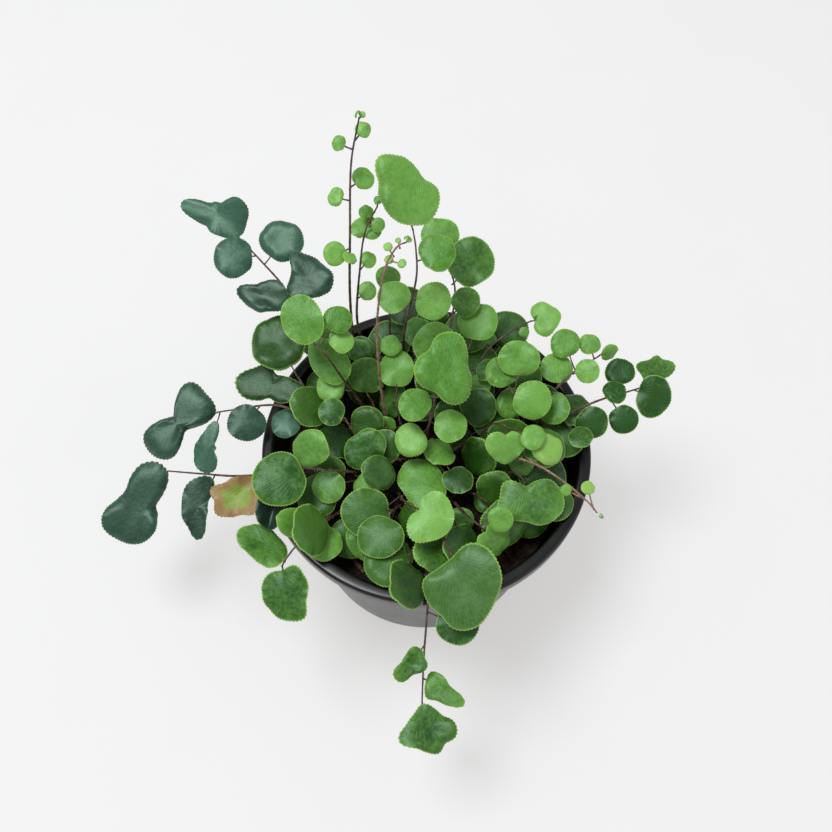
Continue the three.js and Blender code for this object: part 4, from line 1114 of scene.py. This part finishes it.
def rounded(corner, before, after, radius, steps=5):
    """Points that round the corner off by radius, between the points before and after it."""
    corner, before, after = (np.array(point, float) for point in (corner, before, after))
    start = corner + (before - corner) * radius / np.linalg.norm(before - corner)
    end = corner + (after - corner) * radius / np.linalg.norm(after - corner)
    shares = np.linspace(0, 1, steps)[:, None]
    return list((1 - shares) ** 2 * start + 2 * shares * (1 - shares) * corner + shares**2 * end)


def pot_outline():
    lip_foot = POT_HEIGHT - LIP_DROP
    inner_lip = RIM_RADIUS - LIP_WIDTH
    corners = [
        ((BASE_RADIUS, 0), FOOT_EDGE), ((wall_radius(lip_foot), lip_foot), UNDER_LIP_EDGE),
        ((RIM_RADIUS - LIP_TAPER, lip_foot), UNDER_LIP_EDGE), ((RIM_RADIUS, POT_HEIGHT), LIP_EDGE),
        ((inner_lip, POT_HEIGHT), INNER_LIP_EDGE), ((inside_radius(POT_WALL), POT_WALL), FLOOR_EDGE)]
    places = [(0, 0), *[place for place, _ in corners], (0, POT_WALL)]
    points = [np.array([AXIS_GAP, 0.0])]
    for i, (place, radius) in enumerate(corners):
        points += rounded(place, places[i], places[i + 2], radius)
        if i in (0, 4):
            far = np.array(places[i + 2], float)
            points += [points[-1] + (far - points[-1]) * share for share in (0.25, 0.5, 0.75)]
    return [*points, np.array([AXIS_GAP, POT_WALL])]


def turned(profile, spokes):
    """Points and faces of a closed form turned round the axis."""
    turns = np.arange(spokes) * 2 * math.pi / spokes
    points = np.concatenate([
        np.stack([radius * np.cos(turns), radius * np.sin(turns), np.full(spokes, height)], axis=1)
        for radius, height in profile])
    last = (len(profile) - 1) * spokes
    faces = [tuple(reversed(range(spokes))), *bands(len(profile), spokes), tuple(range(last, last + spokes))]
    return points, faces


def mesh_piece(name, points, faces, finish, smooth=True):
    mesh = bpy.data.meshes.new(name)
    mesh.from_pydata((np.asarray(points) * MILLIMETRE).tolist(), [], faces)
    mesh.materials.append(finish)
    mesh.polygons.foreach_set("use_smooth", [smooth] * len(mesh.polygons))
    piece = bpy.data.objects.new(name, mesh)
    bpy.context.scene.collection.objects.link(piece)
    return piece


def settle(piece):
    """Makes what the modifiers show the piece's own mesh."""
    shown = piece.evaluated_get(bpy.context.evaluated_depsgraph_get())
    piece.data = bpy.data.meshes.new_from_object(shown)
    piece.modifiers.clear()
    return piece

# %% [markdown]
# ## Black plastic
#
# Moulded polypropylene is satin, not glossy: a broad soft highlight with a fine pebbled skin. The outside
# of a used pot is dusty and a little scuffed, which lifts the black to a dark grey in places. All of that
# is in the roughness and the bump, because the colour itself hardly changes.

# %% The pot's finish
def plastic_finish():
    material, tree, shader = new_finish("pot_plastic", IOR=1.49, Specular_IOR_Level=0.45)
    dust = maths(tree, "MULTIPLY", ramp(tree, grain(tree, 14, 5.0, 0.65), 0.45, 0.8), 0.4)
    colour = blend(tree, dust, (0.002, 0.0021, 0.0021), (0.008, 0.0078, 0.0075))
    tree.links.new(colour, shader.inputs["Base Color"])
    scuffs = ramp(tree, grain(tree, 5, 6.0, 0.7), 0.3, 0.75, 0.27, 0.33)
    tree.links.new(scuffs, shader.inputs["Roughness"])
    bump(tree, shader, grain(tree, 0.6, 2.0), 0.006, 0.5)
    return material


pot_points, pot_faces = turned(pot_outline(), POT_SPOKES)
pot = mesh_piece("nursery_pot", pot_points, pot_faces, plastic_finish())
drill_points, drill_faces = [], []
for i in range(DRAIN_COUNT):
    turn = 2 * math.pi * i / DRAIN_COUNT
    middle = np.array([DRAIN_RING * math.cos(turn), DRAIN_RING * math.sin(turn), 0])
    ends = np.array([middle + [0, 0, height] for height in DRILL_REACH])
    points, faces = tube(ends, [DRAIN_RADIUS] * 2, 24)
    drill_faces += [tuple(corner + len(drill_points) for corner in face) for face in faces]
    drill_points += list(points)
drill = mesh_piece("drain_drill", drill_points, drill_faces, pot.data.materials[0])
cut = pot.modifiers.new("drain holes", "BOOLEAN")
cut.object, cut.operation, cut.solver = drill, "DIFFERENCE", "EXACT"
settle(pot)
bpy.data.objects.remove(drill)
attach(pot, "root")
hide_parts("pot")
print("pot faces with the drain holes:", len(pot.data.polygons))

# %% [markdown]
# ## The soil
#
# Potting soil is peat and composted bark: a dark crumbly bed with lumps of all sizes, some fibres and a few
# pale specks. A flat disc with a bumpy finish looks like paint from the side, so the bed itself is lumpy,
# and a few hundred loose crumbs lie on it. Each crumb is a ball whose points are pushed in and out.

# %% The soil's bed
GAP = 0.3
SOIL_EDGE = 63
SOIL_ROUGHNESS = 1.2
SOIL_RADIUS = inside_radius(SOIL_EDGE) - 2 * GAP
BED_RINGS = 90
BED_SPOKES = 240
CRUMBLE_HEIGHT = 0.32


def soil_height(x, y):
    share = np.hypot(x, y) / SOIL_RADIUS
    lumps = np.sin(0.31 * x + 1.3) * np.cos(0.27 * y) + 0.6 * np.sin(0.63 * y + 0.5 * x)
    return SOIL_CROWN - (SOIL_CROWN - SOIL_EDGE) * share**2 + SOIL_ROUGHNESS * lumps * (1 - share**6)


def crumble(x, y):
    """Small lumps, from sums of waves that run all ways."""
    total = np.zeros_like(x)
    for k in range(14):
        turn = 2 * math.pi * draw(k, 41)
        pitch = 1.1 + 0.35 * k
        wave = np.sin(pitch * (x * math.cos(turn) + y * math.sin(turn)) + 2 * math.pi * draw(k, 42)
                      + 1.6 * np.sin(0.4 * pitch * (y * math.cos(turn) - x * math.sin(turn))))
        total += wave / (1 + 0.35 * k)
    return total


def soil_finish(name, dark, light, size):
    material, tree, shader = new_finish(name, IOR=1.4, Specular_IOR_Level=0.25)
    tree.links.new(blend(tree, ramp(tree, grain(tree, size, 6.0, 0.7), 0.35, 0.75), dark, light),
                   shader.inputs["Base Color"])
    tree.links.new(ramp(tree, grain(tree, 2 * size), 0.3, 0.7, 0.8, 1.0), shader.inputs["Roughness"])
    bump(tree, shader, grain(tree, 0.5 * size, 4.0, 0.7), 0.5, 0.9)
    return material


PEAT = soil_finish("peat", (0.006, 0.004, 0.003), (0.045, 0.026, 0.016), 1.6)
shares = np.linspace(0, 1, BED_RINGS + 1)[1:]
turns = np.arange(BED_SPOKES) * 2 * math.pi / BED_SPOKES
x = np.outer(shares * SOIL_RADIUS, np.cos(turns)).ravel()
y = np.outer(shares * SOIL_RADIUS, np.sin(turns)).ravel()
rim_fade = np.repeat(1 - shares**12, BED_SPOKES)
bed_top = np.stack([x, y, soil_height(x, y) + CRUMBLE_HEIGHT * crumble(x, y) * rim_fade], axis=1)
foot = POT_WALL + GAP
foot_radius = inside_radius(foot) - 2 * GAP
bed_foot = np.stack(
    [foot_radius * np.cos(turns), foot_radius * np.sin(turns), np.full(BED_SPOKES, foot)], axis=1)
bed_points = np.concatenate([[[0, 0, SOIL_CROWN]], bed_top, bed_foot])
bed_faces = [(0, 1 + k, 1 + (k + 1) % BED_SPOKES) for k in range(BED_SPOKES)]
bed_faces += [(a, d, c, b) for a, b, c, d in bands(BED_RINGS + 1, BED_SPOKES, 1)]
bed_faces.append(tuple(reversed(range(1 + BED_RINGS * BED_SPOKES, 1 + (BED_RINGS + 1) * BED_SPOKES))))
soil = mesh_piece("soil_bed", bed_points, bed_faces, PEAT)
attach(soil, "root")
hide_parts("soil")
print("soil bed:", len(bed_faces), "faces, radius", round(SOIL_RADIUS, 1), "mm")

# %% Loose crumbs, fibres and specks
CRUMBS = 620
PALE_SPECKS = 26
FIBRES = 46


def crumb_ball(radius, number):
    """An uneven little ball round the origin."""
    ball = bmesh.new()
    bmesh.ops.create_icosphere(ball, subdivisions=2, radius=radius)
    points = np.array([vertex.co for vertex in ball.verts])
    faces = [tuple(vertex.index for vertex in face.verts) for face in ball.faces]
    ball.free()
    ways = points / radius
    push = sum(np.sin(ways @ np.array([3.1 * draw(number, 50 + k), 4.3 * draw(number, 60 + k), 3.7]) * (k + 1)
                      + 6.3 * draw(number, 70 + k)) / (k + 1) for k in range(3))
    squash = [1, 0.6 + 0.4 * draw(number, 80), 0.5 + 0.4 * draw(number, 81)]
    return points * (1 + 0.22 * push)[:, None] * squash, faces


def strewn(number, k, outside=0.97):
    """A random place on the soil."""
    radius = SOIL_RADIUS * outside * math.sqrt(draw(number, k))
    turn = 2 * math.pi * draw(number, k + 1)
    x, y = radius * math.cos(turn), radius * math.sin(turn)
    return np.array([x, y, float(soil_height(x, y))])


SPECK_PALE = soil_finish("perlite", (0.42, 0.38, 0.31), (0.72, 0.7, 0.64), 0.8)
FIBRE_BROWN = soil_finish("root_fibre", (0.07, 0.035, 0.018), (0.26, 0.16, 0.08), 1.2)
loose = Pile()
for number in range(CRUMBS):
    radius = 0.45 + 1.5 * draw(number, 44) ** 3
    points, faces = crumb_ball(radius, number)
    turn = 2 * math.pi * draw(number, 45)
    spin = np.array([[math.cos(turn), -math.sin(turn), 0], [math.sin(turn), math.cos(turn), 0], [0, 0, 1]])
    loose.add(points @ spin.T + strewn(number, 46) + [0, 0, 0.3 * radius], faces, 0)
for number in range(PALE_SPECKS):
    points, faces = crumb_ball(0.35 + 0.5 * draw(number, 90) ** 2, number + CRUMBS)
    loose.add(points + strewn(number, 91) + [0, 0, 0.25], faces, 1)
for number in range(FIBRES):
    middle = strewn(number, 94, 0.9)
    turn = 2 * math.pi * draw(number, 96)
    reach = 2 + 4 * draw(number, 97)
    bow = np.linspace(-1, 1, 9)
    way = np.array([math.cos(turn), math.sin(turn), 0])
    aside = np.array([-math.sin(turn), math.cos(turn), 0])
    swerve = 1.2 * (draw(number, 98) - 0.5) * reach * bow**2
    line = (middle + np.outer(bow * reach, way) + np.outer(swerve, aside)
            + np.outer(0.5 + 0.9 * (1 - bow**2), [0, 0, 1]))
    line[:, 2] += soil_height(line[:, 0], line[:, 1]) - middle[2]
    loose.add(*tube(line, np.full(9, 0.14 + 0.12 * draw(number, 99)), 5), 2)
crumbs = loose.build("soil_crumbs", [PEAT, SPECK_PALE, FIBRE_BROWN])
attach(crumbs, "root")
print("loose crumbs:", CRUMBS, "specks:", PALE_SPECKS, "fibres:", FIBRES)

# %% [markdown]
# ## Bark and twig
#
# A flake of composted bark lies in front of the plant, rusty brown and split into layers, and beside it a
# broken twig. The flake starts as a flat outline. Rings of points inside it, pushed up and down along the
# grain, give the torn, fibrous face that a plain slab hasn't got.

# %% The bark chip
BARK_PLACE = (-8, -45)
BARK_OUTLINE = ((8, 0.6), (3.5, 2.6), (-3, 3.1), (-7.5, 1.2), (-5.5, -2), (1, -3), (6.5, -1.8))
BARK_THICKNESS = 1.8
BARK_TILT = math.radians(-6)
BARK_TURN = math.radians(8)
BARK_RINGS = 14
BARK_SPOKES = 96


def wood_finish(name, dark, light, stretch):
    material, tree, shader = new_finish(name, IOR=1.45, Specular_IOR_Level=0.3)
    fibre = grain(tree, 1.1, 6.0, 0.65, stretch)
    tree.links.new(blend(tree, ramp(tree, fibre, 0.3, 0.7), dark, light), shader.inputs["Base Color"])
    tree.links.new(ramp(tree, fibre, 0.2, 0.8, 0.9, 0.65), shader.inputs["Roughness"])
    bump(tree, shader, fibre, 0.5, 0.9)
    return material


def bark_chip():
    corners = np.array([*BARK_OUTLINE, BARK_OUTLINE[0]])
    spoke = np.linspace(0, len(BARK_OUTLINE), BARK_SPOKES, endpoint=False)
    edge = np.stack([np.interp(spoke, range(len(corners)), corners[:, i]) for i in (0, 1)], axis=1)
    edge *= (1 + 0.05 * np.sin(spoke * 9) + 0.03 * np.sin(spoke * 23))[:, None]
    points, faces = [], []
    for side in (1, -1):
        first = len(points)
        points.append([0, 0, side * BARK_THICKNESS / 2])
        for ring in range(1, BARK_RINGS + 1):
            share = ring / BARK_RINGS
            flat = edge * share
            lift = BARK_THICKNESS / 2 * (1 - 0.55 * share**6)
            splits = 0.22 * np.sin(3.1 * flat[:, 1] + 0.9 * np.sin(0.7 * flat[:, 0])) + 0.1 * np.sin(
                8 * flat[:, 1] + 0.5 * flat[:, 0])
            layer = side * lift + splits * (1 if side > 0 else 0.3)
            points += np.column_stack([flat, layer]).tolist()
        for k in range(BARK_SPOKES):
            after = (k + 1) % BARK_SPOKES
            hub = (first, first + 1 + k, first + 1 + after)
            rows = [(first + 1 + r * BARK_SPOKES, first + 1 + (r + 1) * BARK_SPOKES)
                    for r in range(BARK_RINGS - 1)]
            around = [hub, *[(inner + k, outer + k, outer + after, inner + after) for inner, outer in rows]]
            faces += [tuple(reversed(face)) for face in around] if side > 0 else around
    size = 1 + BARK_RINGS * BARK_SPOKES
    for k in range(BARK_SPOKES):
        after = (k + 1) % BARK_SPOKES
        upper, lower = size - BARK_SPOKES, 2 * size - BARK_SPOKES
        faces.append((upper + k, upper + after, lower + after, lower + k))
    points = np.array(points)
    tilt = np.array([[1, 0, 0], [0, math.cos(BARK_TILT), -math.sin(BARK_TILT)],
                     [0, math.sin(BARK_TILT), math.cos(BARK_TILT)]])
    turn = np.array([[math.cos(BARK_TURN), -math.sin(BARK_TURN), 0],
                     [math.sin(BARK_TURN), math.cos(BARK_TURN), 0], [0, 0, 1]])
    x, y = BARK_PLACE
    return points @ (turn @ tilt).T + [x, y, float(soil_height(x, y)) + 0.4], faces


bark = mesh_piece("bark_flake", *bark_chip(), wood_finish(
    "bark_rusty", (0.055, 0.018, 0.008), (0.26, 0.11, 0.05), (0.35, 2.2, 1.5)))
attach(bark, "root")
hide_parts("bark_chip")

# %% The twig
TWIG_ENDS = ((-29, -36), (-22, -44))
TWIG_RADIUS = 0.9
ends = [np.array([x, y, float(soil_height(x, y)) + 0.2]) for x, y in TWIG_ENDS]
share = np.linspace(0, 1, 40)
twig_line = ends[0] + (ends[1] - ends[0]) * share[:, None]
twig_line[:, 2] += 0.35 * np.sin(math.pi * share)
twig_radii = TWIG_RADIUS * (0.85 + 0.12 * np.sin(11 * share) + 0.06 * np.sin(37 * share))
twig_radii[[0, -1]] *= 0.6
twig = mesh_piece("broken_twig", *tube(twig_line, twig_radii, 14), wood_finish(
    "twig_bark", (0.05, 0.024, 0.013), (0.2, 0.115, 0.06), (1.5, 1.5, 1.5)))
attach(twig, "root")
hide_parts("twig")
print("bark faces:", len(bark.data.polygons), "twig faces:", len(twig.data.polygons))

# %% [markdown]
# ## The table and the light
#
# The plant stands on a white table under a large skylight: soft light from above and a little from the
# left, and hardly any shadow. A pale world gives the evenness. One large lamp high up gives the direction,
# and a faint warm one on the right keeps that side from going blue. The table glows slightly itself. That
# isn't how a real table works, but it makes the shadows as faint as they are in a very bright room.

# %% The table
TABLE_SIZE = 6000
TABLE_GLOW = 0.5


def table_finish():
    material, tree, shader = new_finish(
        "white_table", IOR=1.4, Specular_IOR_Level=0.2, Emission_Color=(1, 0.975, 0.96, 1),
        Emission_Strength=TABLE_GLOW)
    tree.links.new(blend(tree, grain(tree, 60, 3.0), (0.34, 0.345, 0.35), (0.36, 0.365, 0.37)),
                   shader.inputs["Base Color"])
    tree.links.new(ramp(tree, grain(tree, 3), 0.0, 1.0, 0.75, 0.9), shader.inputs["Roughness"])
    return material


half = TABLE_SIZE / 2
corners = [(-half, -half, 0), (half, -half, 0), (half, half, 0), (-half, half, 0)]
table = mesh_piece("table_top", corners, [(0, 1, 2, 3)], table_finish(), smooth=False)

# %% The lights
def lamp(name, place, aim, size, power, colour):
    light = bpy.data.lights.new(name, "AREA")
    light.shape, light.size, light.energy, light.color = "DISK", size * MILLIMETRE, power, colour
    holder = bpy.data.objects.new(name, light)
    bpy.context.scene.collection.objects.link(holder)
    holder.location = Vector(place) * MILLIMETRE
    way = Vector(aim) - Vector(place)
    holder.rotation_euler = way.to_track_quat("-Z", "Y").to_euler()


PLANT_MIDDLE = (0, 0, 60)
world = bpy.data.worlds.new("room")
bpy.context.scene.world = world
world.use_nodes = True
sky = world.node_tree.nodes["Background"]
sky.inputs["Color"].default_value = (0.95, 0.98, 1, 1)
sky.inputs["Strength"].default_value = 0.5
lamp("window", (-420, 40, 1400), PLANT_MIDDLE, 620, 14.8, (0.975, 0.993, 1.0))
lamp("warm_wall", (1300, -500, 700), PLANT_MIDDLE, 1200, 3, (1.0, 0.93, 0.89))

# %% [markdown]
# ## The camera
#
# The camera stands where the eye of the plan is, and its lens gives the plan's view: as wide as it is high.

# %% Place the camera
SENSOR_WIDTH = 36
camera_data = bpy.data.cameras.new("camera")
camera_data.sensor_width = SENSOR_WIDTH
camera_data.lens = VIEW_FOCUS / (2 * VIEW_MIDDLE) * SENSOR_WIDTH
camera = bpy.data.objects.new("camera", camera_data)
bpy.context.scene.collection.objects.link(camera)
camera.location = [float(value) * MILLIMETRE for value in eye]
camera.rotation_euler = (math.pi / 2 - EYE_RISE, 0, 0)
bpy.context.scene.camera = camera
bpy.context.scene.view_settings.view_transform = "Standard"
print("lens:", round(camera_data.lens, 2), "mm")
